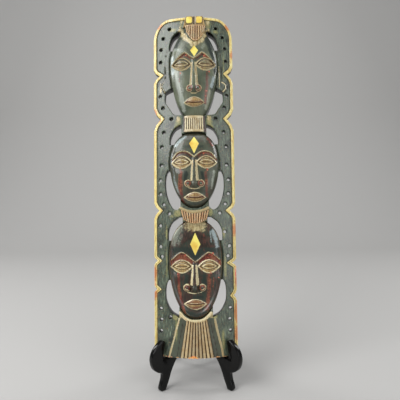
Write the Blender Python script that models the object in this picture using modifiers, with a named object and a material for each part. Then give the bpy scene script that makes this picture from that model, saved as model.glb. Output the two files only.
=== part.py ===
"""Carved mask wall plaque leaning on its small black stand.

The board carries three masks, one above the other, in a frame with notched edges, openings cut
right through beside each head and a row of drilled holes down each side. The stand is two flat
panels that cross at right angles and are slotted into each other. Metres, +Z up, front to -Y.

The plaque is drawn in its own coordinates: across (u), up along the board (v) and out of its
flat back (w). Sizes of the carving are shares of the board's half width and height.
"""
import math

import bmesh
import bpy
from mathutils import Matrix, Vector

# Board
BOARD_HEIGHT = 0.500
BOARD_WIDTH = 0.120
EDGE_THICKNESS = 0.008
BOARD_CROWN = 0.016
LEAN_ANGLE = math.radians(10.0)
FRONT_FACETS = 12

# Carving heights above the board's flat back
MASK_RIM = 0.021
MASK_CROWN = 0.032
NOSE_HEIGHT = 0.0075
BROW_HEIGHT = 0.0022
EYE_HEIGHT = 0.0022
SOCKET_DEPTH = 0.0030
LIP_HEIGHT = 0.0034
COLLAR_CROWN = 0.028
CREST_CROWN = 0.029
SHIELD_CROWN = 0.034
BEARD_CROWN = 0.028
RIB_DEPTH = 0.0016
RIB_BOW = 0.004
CREST_GROOVE = 0.003
CARVING_ROOT = 0.006
CUT_MARGIN = 0.010
TRIM_MARGIN = 0.002
MASK_ROW_STEP = 0.0105
CLOSEST_ROWS = 0.2

# Drilled holes
HOLE_DIAMETER = 0.0048
HOLE_SIDES = 7

# Stand
PANEL_THICKNESS = 0.008
PANEL_EDGE_ROUND = 0.0014
LEDGE_HEIGHT = 0.045
STAND_HALF_SPREAD = 0.0635
STAND_FRONT = 0.031
FIT_GAP = 0.0003
HOOK_GAP = 0.0006
SLOT_GAP = 0.0003
HOOK_TOP = 0.073
STAND_TOP = 0.140
PANEL_LENGTH = 0.165
FOOT_LENGTH = 0.008
REAR_FOOT_LENGTH = 0.012

HALF_LAP_HEIGHT = 0.086

# A stand panel's free outline, along the panel and up: the toe and the hook's outer side, the
# edge behind the rest, and the arch between the two feet.
PANEL_TOE = (
    (0.0165, 0.0), (0.0150, 0.0035), (0.0165, 0.0090), (0.0192, 0.0160), (0.0200, 0.0235),
    (0.0178, 0.0268), (0.0120, 0.0292), (0.0050, 0.0350), (0.0008, 0.0440), (0.0005, 0.0530),
    (0.0045, 0.0612), (0.0115, 0.0680))
PANEL_REAR = (
    (0.0980, 0.1180), (0.1080, 0.0940), (0.1220, 0.0660), (0.1400, 0.0380), (0.1560, 0.0160))
PANEL_ARCH = (
    (0.1320, 0.0280), (0.1140, 0.0430), (0.0940, 0.0510), (0.0740, 0.0520), (0.0580, 0.0480),
    (0.0450, 0.0380), (0.0360, 0.0245), (0.0310, 0.0130))
HOOK_TIP_LENGTH = 0.006
REST_ROUNDING = 0.012

HALF_WIDTH = BOARD_WIDTH / 2.0
TOP_EDGE = 0.998
HEAD_OVERLAP = 0.02

# Each mask, in shares of the board's height and half width. The head's outline is widest at
# "widest" and closes to "bottom" and "top" as two half ovals with their own bends.
MASKS = {
    "upper": dict(
        centre=0.020, bottom=0.692, top=0.948, widest=0.860, half_width=0.590,
        oval_below=0.180, oval_above=0.116, bend_below=2.00, bend_above=1.65,
        brow_root=0.864, brow_peak=0.881, brow_peak_at=0.22, brow_end=0.852, brow_end_at=0.52,
        eye=0.846, eye_at=0.30, eye_half_length=0.235, eye_half_height=0.0185,
        nose_top=0.862, nose_tip=0.763, nose_base=0.757, nose_half_width=0.185,
        mouth=0.731, lip_top=0.748, lip_bottom=0.719, mouth_half_width=0.24, facet=True),
    "middle": dict(
        centre=0.010, bottom=0.423, top=0.646, widest=0.548, half_width=0.598,
        oval_below=0.126, oval_above=0.100, bend_below=1.90, bend_above=2.40,
        brow_root=0.571, brow_peak=0.586, brow_peak_at=0.26, brow_end=0.567, brow_end_at=0.54,
        eye=0.556, eye_at=0.300, eye_half_length=0.235, eye_half_height=0.0175,
        nose_top=0.568, nose_tip=0.487, nose_base=0.479, nose_half_width=0.235,
        mouth=0.452, lip_top=0.466, lip_bottom=0.441, mouth_half_width=0.25, facet=False),
    "lower": dict(
        centre=0.012, bottom=0.108, top=0.385, widest=0.270, half_width=0.640,
        oval_below=0.164, oval_above=0.120, bend_below=2.00, bend_above=2.40,
        brow_root=0.271, brow_peak=0.295, brow_peak_at=0.31, brow_end=0.277, brow_end_at=0.58,
        eye=0.257, eye_at=0.320, eye_half_length=0.245, eye_half_height=0.0180,
        nose_top=0.270, nose_tip=0.188, nose_base=0.180, nose_half_width=0.255,
        mouth=0.150, lip_top=0.163, lip_bottom=0.134, mouth_half_width=0.25, facet=False),
}

# The outer edge of each opening, from the collar or crest round to its far tip, and the half
# width of what stands between the pair of openings where the head is narrower than that.
OPENINGS = (
    dict(mask="upper", neck=0.300, outer=(
        (0.310, 0.953), (0.375, 0.956), (0.490, 0.946), (0.560, 0.932), (0.605, 0.914),
        (0.608, 0.899))),
    dict(mask="upper", neck=0.290, outer=(
        (0.290, 0.699), (0.500, 0.703), (0.590, 0.718), (0.665, 0.732), (0.720, 0.745),
        (0.715, 0.768), (0.690, 0.774), (0.545, 0.783))),
    dict(mask="middle", neck=0.305, outer=(
        (0.345, 0.669), (0.460, 0.661), (0.550, 0.645), (0.590, 0.629), (0.592, 0.612))),
    dict(mask="middle", neck=0.345, outer=(
        (0.350, 0.428), (0.445, 0.419), (0.565, 0.428), (0.665, 0.454), (0.712, 0.480),
        (0.718, 0.504), (0.700, 0.522), (0.655, 0.535))),
    dict(mask="lower", neck=0.300, outer=(
        (0.385, 0.398), (0.540, 0.384), (0.615, 0.370), (0.655, 0.354), (0.660, 0.330))),
    dict(mask="lower", neck=0.400, outer=(
        (0.400, 0.112), (0.440, 0.114), (0.560, 0.123), (0.650, 0.138), (0.715, 0.158),
        (0.728, 0.182), (0.705, 0.204), (0.650, 0.217))),
)
INNER_POINTS = 9
CLOSEST_POINTS = 0.0004

# Notches in the board's edges: height, depth and half length, for the left and right edge.
NOTCHES = {
    -1: ((0.826, 0.155, 0.021), (0.692, 0.180, 0.034), (0.418, 0.130, 0.024),
         (0.272, 0.090, 0.012), (0.190, 0.073, 0.010)),
    1: ((0.828, 0.148, 0.025), (0.690, 0.170, 0.033), (0.416, 0.140, 0.022),
        (0.264, 0.108, 0.012), (0.170, 0.073, 0.016)),
}
CORNER_ACROSS = 0.42
CORNER_UP = 0.062
CORNER_STEPS = 7

# Drilled holes: a pair for each entry here, then those that only one side has.
HOLE_PAIRS = (
    (0.580, 0.967), (0.746, 0.941), (0.805, 0.907), (0.818, 0.868), (0.830, 0.762),
    (0.765, 0.725), (0.547, 0.689), (0.745, 0.650), (0.798, 0.607), (0.803, 0.552),
    (0.840, 0.508), (0.835, 0.467), (0.753, 0.436), (0.617, 0.409), (0.840, 0.313),
    (0.803, 0.284), (0.833, 0.135), (0.818, 0.104), (0.825, 0.072),
)
HOLE_SINGLES = ((-0.845, 0.374), (-0.600, 0.112), (-0.793, 0.034), (0.730, 0.354))

# Ribbed pieces of the carving: collars under the chins, the shield under the crest, the beard.
# The arcs are how much higher an end's corners stand than its middle.
RIBBED = (
    dict(name="upper collar", centre=0.015, bottom=0.648, top=0.694, half_bottom=0.300,
         half_top=0.290, arc_bottom=0.0, arc_top=0.0, ribs=9, crown=COLLAR_CROWN),
    dict(name="lower collar", centre=0.013, bottom=0.379, top=0.412, half_bottom=0.280,
         half_top=0.350, arc_bottom=0.011, arc_top=0.010, ribs=10, crown=COLLAR_CROWN),
    dict(name="shield", centre=0.073, bottom=0.916, top=0.966, half_bottom=0.225,
         half_top=0.253, arc_bottom=0.034, arc_top=0.0, ribs=8, crown=SHIELD_CROWN),
    dict(name="beard", centre=0.030, bottom=0.002, top=0.100, half_bottom=0.400,
         half_top=0.255, arc_bottom=0.0, arc_top=0.008, ribs=9, crown=BEARD_CROWN),
)
COLUMNS_PER_RIB = 4
ROWS_OF_RIBS = 2
CREST_COLUMNS = 8
CREST = dict(centre=0.045, bottom=0.962, top=1.000, half_bottom=0.300, half_top=0.255)

COLOURS = {
    "painted wood": (0.035, 0.045, 0.040, 1.0),
    "black lacquer": (0.008, 0.008, 0.008, 1.0),
}


def clear_scene():
    for old in list(bpy.data.objects):
        bpy.data.objects.remove(old, do_unlink=True)
    for old in list(bpy.data.collections):
        bpy.data.collections.remove(old)


def new_collection(name):
    made = bpy.data.collections.new(name)
    bpy.context.scene.collection.children.link(made)
    return made


def new_material(name, roughness):
    made = bpy.data.materials.new(name)
    made.use_nodes = True
    shader = made.node_tree.nodes["Principled BSDF"]
    shader.inputs["Base Color"].default_value = COLOURS[name]
    shader.inputs["Roughness"].default_value = roughness
    shader.inputs["Metallic"].default_value = 0.0
    return made


def smooth_step(low, high, value):
    share = min(1.0, max(0.0, (value - low) / (high - low)))
    return share * share * (3.0 - 2.0 * share)


def bump(value, half_width):
    """A round hill of height 1 that falls to 0 at half_width to either side."""
    share = min(1.0, abs(value) / half_width)
    return (1.0 - share * share) ** 2


def board_thickness(across):
    """Thickness of the board at a share of its half width: flat back, bowed front."""
    return EDGE_THICKNESS + BOARD_CROWN * (1.0 - min(1.0, across * across))


def smooth_path(points, steps):
    """A curve through the points, with the given number of steps to each span."""
    ends = [points[0]] + list(points) + [points[-1]]
    path = []
    for index in range(1, len(ends) - 2):
        before, start, stop, after = ends[index - 1:index + 3]
        for step in range(steps):
            t = step / steps
            path.append(tuple(
                0.5 * (2.0 * b + (c - a) * t + (2.0 * a - 5.0 * b + 4.0 * c - d) * t * t
                       + (3.0 * b - a - 3.0 * c + d) * t ** 3)
                for a, b, c, d in zip(before, start, stop, after)))
    path.append(points[-1])
    return path


def head_half_width(mask, up):
    """Half width of a head at a height, both in shares of the board."""
    if up < mask["widest"]:
        reach, bend = mask["oval_below"], mask["bend_below"]
    else:
        reach, bend = mask["oval_above"], mask["bend_above"]
    share = min(1.0, abs(up - mask["widest"]) / reach)
    return mask["half_width"] * (1.0 - share ** bend) ** (1.0 / bend)


def brow_line(mask, side_share):
    """Height of the brow at a distance from the mask's middle."""
    peak_at = mask["brow_peak_at"]
    if side_share < peak_at:
        blend = math.sin(math.pi / 2.0 * side_share / peak_at)
        return mask["brow_root"] + (mask["brow_peak"] - mask["brow_root"]) * blend
    blend = min(1.0, (side_share - peak_at) / (mask["brow_end_at"] - peak_at))
    return mask["brow_peak"] + (mask["brow_end"] - mask["brow_peak"]) * blend * blend


def mask_height(mask, across, up):
    """Height of a mask above the board's back, from shares of the board."""
    side = abs(across - mask["centre"])
    half = max(HEAD_OVERLAP, head_half_width(mask, up))
    spread = min(1.0, side / half)
    power = 4.5 if mask["facet"] else 3.0
    dome = (1.0 - spread ** power) ** 0.75
    length_share = (up - mask["bottom"]) / (mask["top"] - mask["bottom"])
    chin_and_brow = 0.78 + 0.22 * math.sin(math.pi * min(1.0, max(0.0, length_share))) ** 0.6
    height = MASK_RIM + (MASK_CROWN - MASK_RIM) * dome * chin_and_brow

    # Brow ridge over a sunken eye socket
    brow = brow_line(mask, side)
    ridge_width = 0.012
    inside = 1.0 - smooth_step(0.88, 1.0, spread)
    height += BROW_HEIGHT * bump(up - brow, ridge_width) * inside
    socket_across = bump(side - mask["eye_at"], mask["eye_half_length"] * 1.25)
    socket_up = bump(up - mask["eye"], mask["eye_half_height"] * 1.7)
    height -= SOCKET_DEPTH * socket_across * socket_up
    eye_across = bump(side - mask["eye_at"], mask["eye_half_length"])
    eye_up = bump(up - mask["eye"], mask["eye_half_height"])
    height += (EYE_HEIGHT + SOCKET_DEPTH) * math.sqrt(eye_across) * eye_up

    # Nose: a ridge that widens and rises to the tip, then drops to the lip
    nose_share = (mask["nose_top"] - up) / (mask["nose_top"] - mask["nose_tip"])
    if nose_share > 0.0:
        drop = smooth_step(mask["nose_base"] - 0.004, mask["nose_tip"], up)
        grown = min(1.0, nose_share)
        half_nose = mask["nose_half_width"] * (0.22 + 0.78 * grown ** 2.4)
        height += NOSE_HEIGHT * (0.25 + 0.75 * grown) * bump(side, half_nose * 1.15) * drop

    # Lips and the hollow between them and the chin
    lip_across = bump(side, mask["mouth_half_width"] * 1.05)
    lip_middle = 0.5 * (mask["lip_top"] + mask["lip_bottom"])
    lip_reach = 0.62 * (mask["lip_top"] - mask["lip_bottom"])
    height += LIP_HEIGHT * math.sqrt(lip_across) * bump(up - lip_middle, lip_reach)
    parting = bump(up - mask["mouth"], 0.3 * lip_reach)
    height -= 0.4 * LIP_HEIGHT * math.sqrt(lip_across) * parting
    return height


def plaque_matrix():
    """Places the board's own coordinates in the world: u across, v up, w out of the back."""
    across = Vector((1.0, 0.0, 0.0))
    up = Vector((0.0, math.sin(LEAN_ANGLE), math.cos(LEAN_ANGLE)))
    out = Vector((0.0, -math.cos(LEAN_ANGLE), math.sin(LEAN_ANGLE)))
    turned = Matrix((across, up, out)).transposed().to_4x4()
    turned.translation = Vector((0.0, 0.0, LEDGE_HEIGHT))
    return turned


def prism(name, loops, low, high):
    """A flat outline (with any inner loops) made solid between two heights."""
    curve = bpy.data.curves.new(name, "CURVE")
    curve.dimensions = "2D"
    curve.fill_mode = "BOTH"
    curve.extrude = (high - low) / 2.0
    for loop in loops:
        spline = curve.splines.new("POLY")
        spline.points.add(len(loop) - 1)
        for point, (x, y) in zip(spline.points, loop):
            point.co = (x, y, 0.0, 1.0)
        spline.use_cyclic_u = True
    holder = bpy.data.objects.new(name, curve)
    bpy.context.scene.collection.objects.link(holder)
    bpy.context.view_layer.update()
    evaluated = holder.evaluated_get(bpy.context.evaluated_depsgraph_get())
    mesh = bpy.data.meshes.new_from_object(evaluated)
    bpy.data.objects.remove(holder, do_unlink=True)
    body = bmesh.new()
    body.from_mesh(mesh)
    bmesh.ops.remove_doubles(body, verts=body.verts, dist=1e-6)
    bmesh.ops.translate(body, verts=body.verts, vec=(0.0, 0.0, (low + high) / 2.0))
    bmesh.ops.recalc_face_normals(body, faces=body.faces)
    body.to_mesh(mesh)
    body.free()
    mesh.name = name
    return mesh


def relief(name, columns, rows, place):
    """A carved block: a grid whose points place() puts, closed down to the carving's root."""
    body = bmesh.new()
    bmesh.ops.create_grid(body, x_segments=columns, y_segments=rows, size=1.0)
    for vert in body.verts:
        vert.co = place(vert.co.x, vert.co.y)
    bmesh.ops.triangulate(body, faces=body.faces[:], quad_method="SHORT_EDGE")
    root = bmesh.ops.extrude_face_region(body, geom=body.faces[:])
    for item in root["geom"]:
        if isinstance(item, bmesh.types.BMVert):
            item.co.z = CARVING_ROOT
    bmesh.ops.recalc_face_normals(body, faces=body.faces)
    mesh = bpy.data.meshes.new(name)
    body.to_mesh(mesh)
    body.free()
    return mesh


def across_marks(mask):
    """Where a mask's grid lines run up the face: along the nose, and through each eye."""
    eye, reach = mask["eye_at"], mask["eye_half_length"]
    marks = [0.16 * eye, 0.36 * eye, eye - 0.55 * reach, eye - 0.28 * reach, eye]
    marks += [eye + share * reach for share in (0.28, 0.55, 0.80, 1.0)]
    marks += [0.975 * mask["half_width"], mask["half_width"] + HEAD_OVERLAP]
    return [-mark for mark in reversed(marks)] + [0.0] + marks


def up_marks(mask):
    """Heights of a mask's grid lines: one through each feature, and even steps between."""
    eye, reach = mask["eye"], mask["eye_half_height"]
    features = [mask["bottom"], mask["lip_bottom"], mask["mouth"], mask["lip_top"],
                mask["nose_base"], mask["nose_tip"], eye - reach, eye - 0.5 * reach, eye,
                eye + 0.5 * reach, eye + reach, mask["brow_peak"], mask["top"]]
    marks = [mask["bottom"]]
    for feature in sorted(features):
        span = feature - marks[-1]
        if span > CLOSEST_ROWS * MASK_ROW_STEP:
            count = max(1, round(span / MASK_ROW_STEP))
            start = marks[-1]
            marks += [start + span * step / count for step in range(1, count + 1)]
    marks[-1] = mask["top"]
    return marks


def mask_block(name, mask):
    """One mask, a little wider than its head so that the openings trim its sides."""
    columns, rows = across_marks(mask), up_marks(mask)

    def place(column, row):
        across = columns[round((column + 1.0) / 2.0 * (len(columns) - 1))]
        up = rows[round((row + 1.0) / 2.0 * (len(rows) - 1))]
        narrowed = (head_half_width(mask, up) + HEAD_OVERLAP) / (mask["half_width"] + HEAD_OVERLAP)
        u = mask["centre"] + across * narrowed
        return Vector((u * HALF_WIDTH, up * BOARD_HEIGHT, mask_height(mask, u, up)))

    return relief(name, len(columns) - 1, len(rows) - 1, place)


def ribbed_block(shape):
    """A collar, shield or beard with rounded ribs that run up it."""
    columns = shape["ribs"] * COLUMNS_PER_RIB

    def place(column, row):
        share = 0.5 + 0.5 * row
        up = shape["bottom"] + (shape["top"] - shape["bottom"]) * share
        half = shape["half_bottom"] + (shape["half_top"] - shape["half_bottom"]) * share
        arc = shape["arc_bottom"] + (shape["arc_top"] - shape["arc_bottom"]) * share
        up += arc * column * column
        rib = abs(math.sin(math.pi * (column + 1.0) / 2.0 * shape["ribs"]))
        height = shape["crown"] - RIB_BOW * column * column - RIB_DEPTH * (1.0 - rib)
        u = shape["centre"] + column * half
        return Vector((u * HALF_WIDTH, up * BOARD_HEIGHT, height))

    return relief(shape["name"], columns, ROWS_OF_RIBS, place)


def crest_block():
    """The flared block over the shield, with a groove down its middle."""
    def place(column, row):
        share = 0.5 + 0.5 * row
        up = CREST["bottom"] + (CREST["top"] - CREST["bottom"]) * share
        half = CREST["half_bottom"] + (CREST["half_top"] - CREST["half_bottom"]) * share
        groove = CREST_GROOVE * bump(column, 0.22)
        u = CREST["centre"] + column * half
        return Vector((u * HALF_WIDTH, up * BOARD_HEIGHT, CREST_CROWN - groove))

    return relief("crest", CREST_COLUMNS, 1, place)


def board_outline():
    """The board's outline in metres: rounded top corners and a notched edge to each side."""
    loop = []
    for side in (1, -1):
        edge = [(1.0, 0.0)]
        for height, depth, half_length in reversed(NOTCHES[side]):
            edge.append((1.0, height - half_length))
            edge.append((1.0 - 0.35 * depth, height - 0.45 * half_length))
            edge.append((1.0 - depth, height))
            edge.append((1.0 - 0.35 * depth, height + 0.45 * half_length))
            edge.append((1.0, height + half_length))
        for step in range(CORNER_STEPS + 1):
            angle = math.pi / 2.0 * step / CORNER_STEPS
            edge.append((1.0 - CORNER_ACROSS * (1.0 - math.cos(angle)),
                         TOP_EDGE - CORNER_UP * (1.0 - math.sin(angle))))
        placed = [(side * across * HALF_WIDTH, up * BOARD_HEIGHT) for across, up in edge]
        loop.extend(placed if side > 0 else reversed(placed))
    return loop


def front_profile():
    """The lens that bows the board's front, seen along the board: across and thickness."""
    outside = HALF_WIDTH + CUT_MARGIN
    loop = [(-outside, -TRIM_MARGIN), (outside, -TRIM_MARGIN), (outside, EDGE_THICKNESS)]
    for step in range(FRONT_FACETS + 1):
        across = math.sin(math.pi / 2.0 * (1.0 - 2.0 * step / FRONT_FACETS))
        loop.append((across * HALF_WIDTH, board_thickness(across)))
    loop.append((-outside, EDGE_THICKNESS))
    return loop


def opening_loops():
    """Every opening, left and right, as a closed outline in metres."""
    loops = []
    for opening in OPENINGS:
        mask = MASKS[opening["mask"]]
        outer = smooth_path(opening["outer"], 2)
        first, last = outer[0][1], outer[-1][1]
        inner = []
        for step in range(INNER_POINTS):
            up = last + (first - last) * step / (INNER_POINTS - 1)
            inner.append((max(head_half_width(mask, up), opening["neck"]), up))
        whole = outer + [point for point in inner if point[0] < 0.98 * outer[-1][0] or point[0] < 0.64]
        for side in (-1, 1):
            loop = [((mask["centre"] + side * across) * HALF_WIDTH, up * BOARD_HEIGHT)
                    for across, up in whole]
            loop = [point for before, point in zip(loop[-1:] + loop, loop)
                    if math.dist(before, point) > CLOSEST_POINTS]
            loops.append(loop if side > 0 else loop[::-1])
    return loops


def hole_cutter():
    """All the drills in one mesh."""
    centres = [(side * across, up) for across, up in HOLE_PAIRS for side in (-1, 1)]
    centres.extend(HOLE_SINGLES)
    body = bmesh.new()
    middle = 0.5 * (EDGE_THICKNESS + BOARD_CROWN)
    length = EDGE_THICKNESS + BOARD_CROWN + 2.0 * CUT_MARGIN
    for across, up in centres:
        place = Matrix.Translation((across * HALF_WIDTH, up * BOARD_HEIGHT, middle))
        bmesh.ops.create_cone(
            body, cap_ends=True, segments=HOLE_SIDES, radius1=HOLE_DIAMETER / 2.0,
            radius2=HOLE_DIAMETER / 2.0, depth=length, matrix=place)
    mesh = bpy.data.meshes.new("drills")
    body.to_mesh(mesh)
    body.free()
    return mesh


def add_object(name, mesh, collection, matrix=None):
    made = bpy.data.objects.new(name, mesh)
    if matrix is not None:
        made.matrix_world = matrix
    collection.objects.link(made)
    return made


def add_cutter(name, mesh, collection, matrix=None):
    made = add_object(name, mesh, collection, matrix)
    made.hide_render = True
    made.display_type = "WIRE"
    return made


def add_boolean(target, tool, operation, solver="EXACT"):
    step = target.modifiers.new(tool.name, "BOOLEAN")
    step.operation = operation
    step.solver = solver
    step.object = tool
    return step


def build_plaque(parts, cutters, material):
    """The board: outline trimmed to its bowed front, carving added, openings and holes cut."""
    frame = plaque_matrix()
    thickness = EDGE_THICKNESS + BOARD_CROWN + TRIM_MARGIN
    outline = prism("plaque", [board_outline()], 0.0, thickness)
    plaque = add_object("plaque", outline, parts, frame)
    lens = prism("bowed front", [front_profile()], -CUT_MARGIN, BOARD_HEIGHT + CUT_MARGIN)
    stand_up = Matrix(((1, 0, 0, 0), (0, 0, 1, 0), (0, 1, 0, 0), (0, 0, 0, 1)))
    lens.transform(stand_up)
    lens.flip_normals()
    add_boolean(plaque, add_cutter("bowed front", lens, cutters, frame), "INTERSECT")
    for name, mask in MASKS.items():
        block = add_cutter(name + " mask", mask_block(name, mask), cutters, frame)
        add_boolean(plaque, block, "UNION")
    for shape in RIBBED:
        block = add_cutter(shape["name"], ribbed_block(shape), cutters, frame)
        add_boolean(plaque, block, "UNION", "MANIFOLD")
    crest = add_cutter("crest", crest_block(), cutters, frame)
    add_boolean(plaque, crest, "UNION", "MANIFOLD")
    through = prism("openings", opening_loops(), -CUT_MARGIN, MASK_CROWN + CUT_MARGIN)
    add_boolean(plaque, add_cutter("openings", through, cutters, frame), "DIFFERENCE")
    drills = add_cutter("drills", hole_cutter(), cutters, frame)
    add_boolean(plaque, drills, "DIFFERENCE", "MANIFOLD")
    plaque.data.materials.append(material)
    return plaque


def panel_profile():
    """One stand panel in its own plane: along the panel, and up."""
    slope = math.tan(LEAN_ANGLE)
    turn = math.sqrt(0.5)
    half = PANEL_THICKNESS / 2.0

    def ledge_at(along):
        behind = -STAND_FRONT + turn * (along + half)
        return LEDGE_HEIGHT - behind * slope - FIT_GAP / math.cos(LEAN_ANGLE)

    def rest_at(height):
        back_plane = (height - LEDGE_HEIGHT) * slope
        return (back_plane + STAND_FRONT + FIT_GAP / math.cos(LEAN_ANGLE)) / turn + half

    def hook_at(height):
        back_plane = (height - LEDGE_HEIGHT) * slope
        along = rest_at(height)
        for _ in range(12):
            outside = STAND_HALF_SPREAD - turn * (along - half)
            front = back_plane - board_thickness(outside / HALF_WIDTH) / math.cos(LEAN_ANGLE)
            along = (front - HOOK_GAP + STAND_FRONT) / turn - half
        return along

    ledge_front = hook_at(LEDGE_HEIGHT)
    tip_along = hook_at(HOOK_TOP)
    tip_foot = HOOK_TOP - 0.8 * HOOK_TIP_LENGTH
    tip = [(tip_along - HOOK_TIP_LENGTH, HOOK_TOP),
           (tip_along - 0.25 * HOOK_TIP_LENGTH, HOOK_TOP - 0.2 * HOOK_TIP_LENGTH),
           (hook_at(tip_foot), tip_foot)]
    ledge = [(ledge_front, LEDGE_HEIGHT + HOOK_TIP_LENGTH), (ledge_front, ledge_at(ledge_front))]
    corner = rest_at(ledge_at(rest_at(LEDGE_HEIGHT)))
    rest_end = STAND_TOP - REST_ROUNDING
    rest = [(corner, ledge_at(corner)), (rest_at(rest_end), rest_end)]
    top = rest_at(STAND_TOP)
    crown = [(top + 0.2 * REST_ROUNDING, STAND_TOP - 0.25 * REST_ROUNDING),
             (top + 0.75 * REST_ROUNDING, STAND_TOP),
             (top + 1.33 * REST_ROUNDING, STAND_TOP - 0.5 * REST_ROUNDING)]
    rear_foot = PANEL_LENGTH - REAR_FOOT_LENGTH
    feet = [(PANEL_LENGTH, 0.3 * REAR_FOOT_LENGTH), (PANEL_LENGTH, 0.0), (rear_foot, 0.0),
            (rear_foot - 0.5 * REAR_FOOT_LENGTH, 0.65 * REAR_FOOT_LENGTH)]
    toe_end = [(PANEL_TOE[0][0] + FOOT_LENGTH, 0.0)]
    front = list(PANEL_TOE) + tip + ledge + rest + crown
    return front + list(PANEL_REAR) + feet + list(PANEL_ARCH) + toe_end


def slot_cutter(name, collection, matrix, low, high):
    """The slot that takes the other panel, half the height of the crossing."""
    body = bmesh.new()
    bmesh.ops.create_cube(body, size=1.0)
    width = PANEL_THICKNESS + 2.0 * SLOT_GAP
    bmesh.ops.scale(body, verts=body.verts, vec=(width, high - low, PANEL_THICKNESS * 3.0))
    crossing = STAND_HALF_SPREAD / math.sqrt(0.5)
    bmesh.ops.translate(body, verts=body.verts, vec=(crossing, (low + high) / 2.0, 0.0))
    mesh = bpy.data.meshes.new(name)
    body.to_mesh(mesh)
    body.free()
    return add_cutter(name, mesh, collection, matrix)


def build_stand(parts, cutters, material):
    """Two equal panels at right angles, one slotted from above and one from below."""
    profile = panel_profile()
    sides = (("easel_side_left", -1, HALF_LAP_HEIGHT - SLOT_GAP, STAND_TOP + CUT_MARGIN),
             ("easel_side_right", 1, -CUT_MARGIN, HALF_LAP_HEIGHT + SLOT_GAP))
    made = []
    for name, side, low, high in sides:
        mesh = prism(name, [profile], -PANEL_THICKNESS / 2.0, PANEL_THICKNESS / 2.0)
        along = Vector((-side, 1.0, 0.0)).normalized()
        up = Vector((0.0, 0.0, 1.0))
        matrix = Matrix((along, up, along.cross(up))).transposed().to_4x4()
        matrix.translation = Vector((side * STAND_HALF_SPREAD, -STAND_FRONT, 0.0))
        panel = add_object(name, mesh, parts, matrix)
        rounding = panel.modifiers.new("rounded edges", "BEVEL")
        rounding.width = PANEL_EDGE_ROUND
        rounding.segments = 1
        rounding.limit_method = "ANGLE"
        rounding.angle_limit = math.radians(60.0)
        slot = slot_cutter(name + " slot", cutters, matrix, low, high)
        add_boolean(panel, slot, "DIFFERENCE")
        panel.data.materials.append(material)
        made.append(panel)
    return made


def put_on_origin(objects, parts):
    """Hangs everything on one empty whose shift puts the origin at the middle of the footprint."""
    bpy.context.view_layer.update()
    graph = bpy.context.evaluated_depsgraph_get()
    depths = []
    for item in objects:
        whole = item.evaluated_get(graph)
        depths.extend((whole.matrix_world @ vert.co).y for vert in whole.data.vertices)
    root = bpy.data.objects.new("plaque on its stand", None)
    parts.objects.link(root)
    root.location.y = -0.5 * (min(depths) + max(depths))
    for item in bpy.data.objects:
        if item is not root and item.parent is None:
            item.parent = root


def main():
    clear_scene()
    parts = new_collection("carved mask wall plaque")
    cutters = new_collection("cutters")
    plaque = build_plaque(parts, cutters, new_material("painted wood", 0.45))
    panels = build_stand(parts, cutters, new_material("black lacquer", 0.15))
    put_on_origin([plaque] + panels, parts)


main()
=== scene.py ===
import math
from functools import partial

import bmesh
import bpy
import numpy as np
from mathutils import Matrix, Vector
from mathutils.geometry import delaunay_2d_cdt


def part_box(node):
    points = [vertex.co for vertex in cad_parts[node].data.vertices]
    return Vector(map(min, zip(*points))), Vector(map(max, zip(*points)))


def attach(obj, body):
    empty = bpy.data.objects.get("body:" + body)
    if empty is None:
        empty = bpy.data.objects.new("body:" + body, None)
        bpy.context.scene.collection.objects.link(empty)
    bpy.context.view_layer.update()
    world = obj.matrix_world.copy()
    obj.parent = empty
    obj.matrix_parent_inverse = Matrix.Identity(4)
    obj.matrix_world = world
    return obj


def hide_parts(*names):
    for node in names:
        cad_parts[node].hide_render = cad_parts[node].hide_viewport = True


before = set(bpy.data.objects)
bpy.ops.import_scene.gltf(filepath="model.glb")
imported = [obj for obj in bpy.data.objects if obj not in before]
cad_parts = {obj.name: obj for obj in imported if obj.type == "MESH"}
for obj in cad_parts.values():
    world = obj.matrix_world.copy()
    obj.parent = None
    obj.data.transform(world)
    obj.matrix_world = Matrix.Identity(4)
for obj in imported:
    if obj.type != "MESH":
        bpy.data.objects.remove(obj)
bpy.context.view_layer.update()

# Everything on the plaque is drawn in millimetres on its own flat back:
# u across, v up the board, w out of the back. toWorld puts it in the frame.
board = {
    "width": 120.0,
    "height": 500.0,
    "edge": 8.0,            # thickness at the long edges
    "crown": 16.0,          # how far the front bows out in the middle
    "lean": math.radians(10.0),
    "topEdge": 499.0,
    "cornerAcross": 25.0,
    "cornerUp": 31.0,
    "rimWidth": 4.4,        # the gold border
    "rimGroove": 0.9,
    "fieldDrop": 0.7,
    "edgeRound": 1.3,
    "fineStep": 0.78,       # spacing of the mesh where there is carving
    "seed": 7,
}
halfWidth = board["width"] / 2.0

notches = {
    -1: ((413.0, 9.3, 10.5), (346.0, 10.8, 17.0), (209.0, 7.8, 12.0), (136.0, 5.4, 6.0), (95.0, 4.4, 5.0)),
    1: ((414.0, 8.9, 12.5), (345.0, 10.2, 16.5), (208.0, 8.4, 11.0), (132.0, 6.5, 6.0), (85.0, 4.4, 8.0)),
}
holePairs = ((34.8, 483.5), (44.8, 470.5), (48.3, 453.5), (49.1, 434.0), (49.8, 381.0), (45.9, 362.5),
             (32.8, 344.5), (44.7, 325.0), (47.9, 303.5), (48.2, 276.0), (50.4, 254.0), (50.1, 233.5),
             (45.2, 218.0), (37.0, 204.5), (50.4, 156.5), (48.2, 142.0), (50.0, 67.5), (49.1, 52.0),
             (49.5, 36.0))
holeSingles = ((-50.7, 187.0), (-36.0, 56.0), (-47.6, 17.0), (43.8, 177.0))
holeRadius = 2.4

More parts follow.
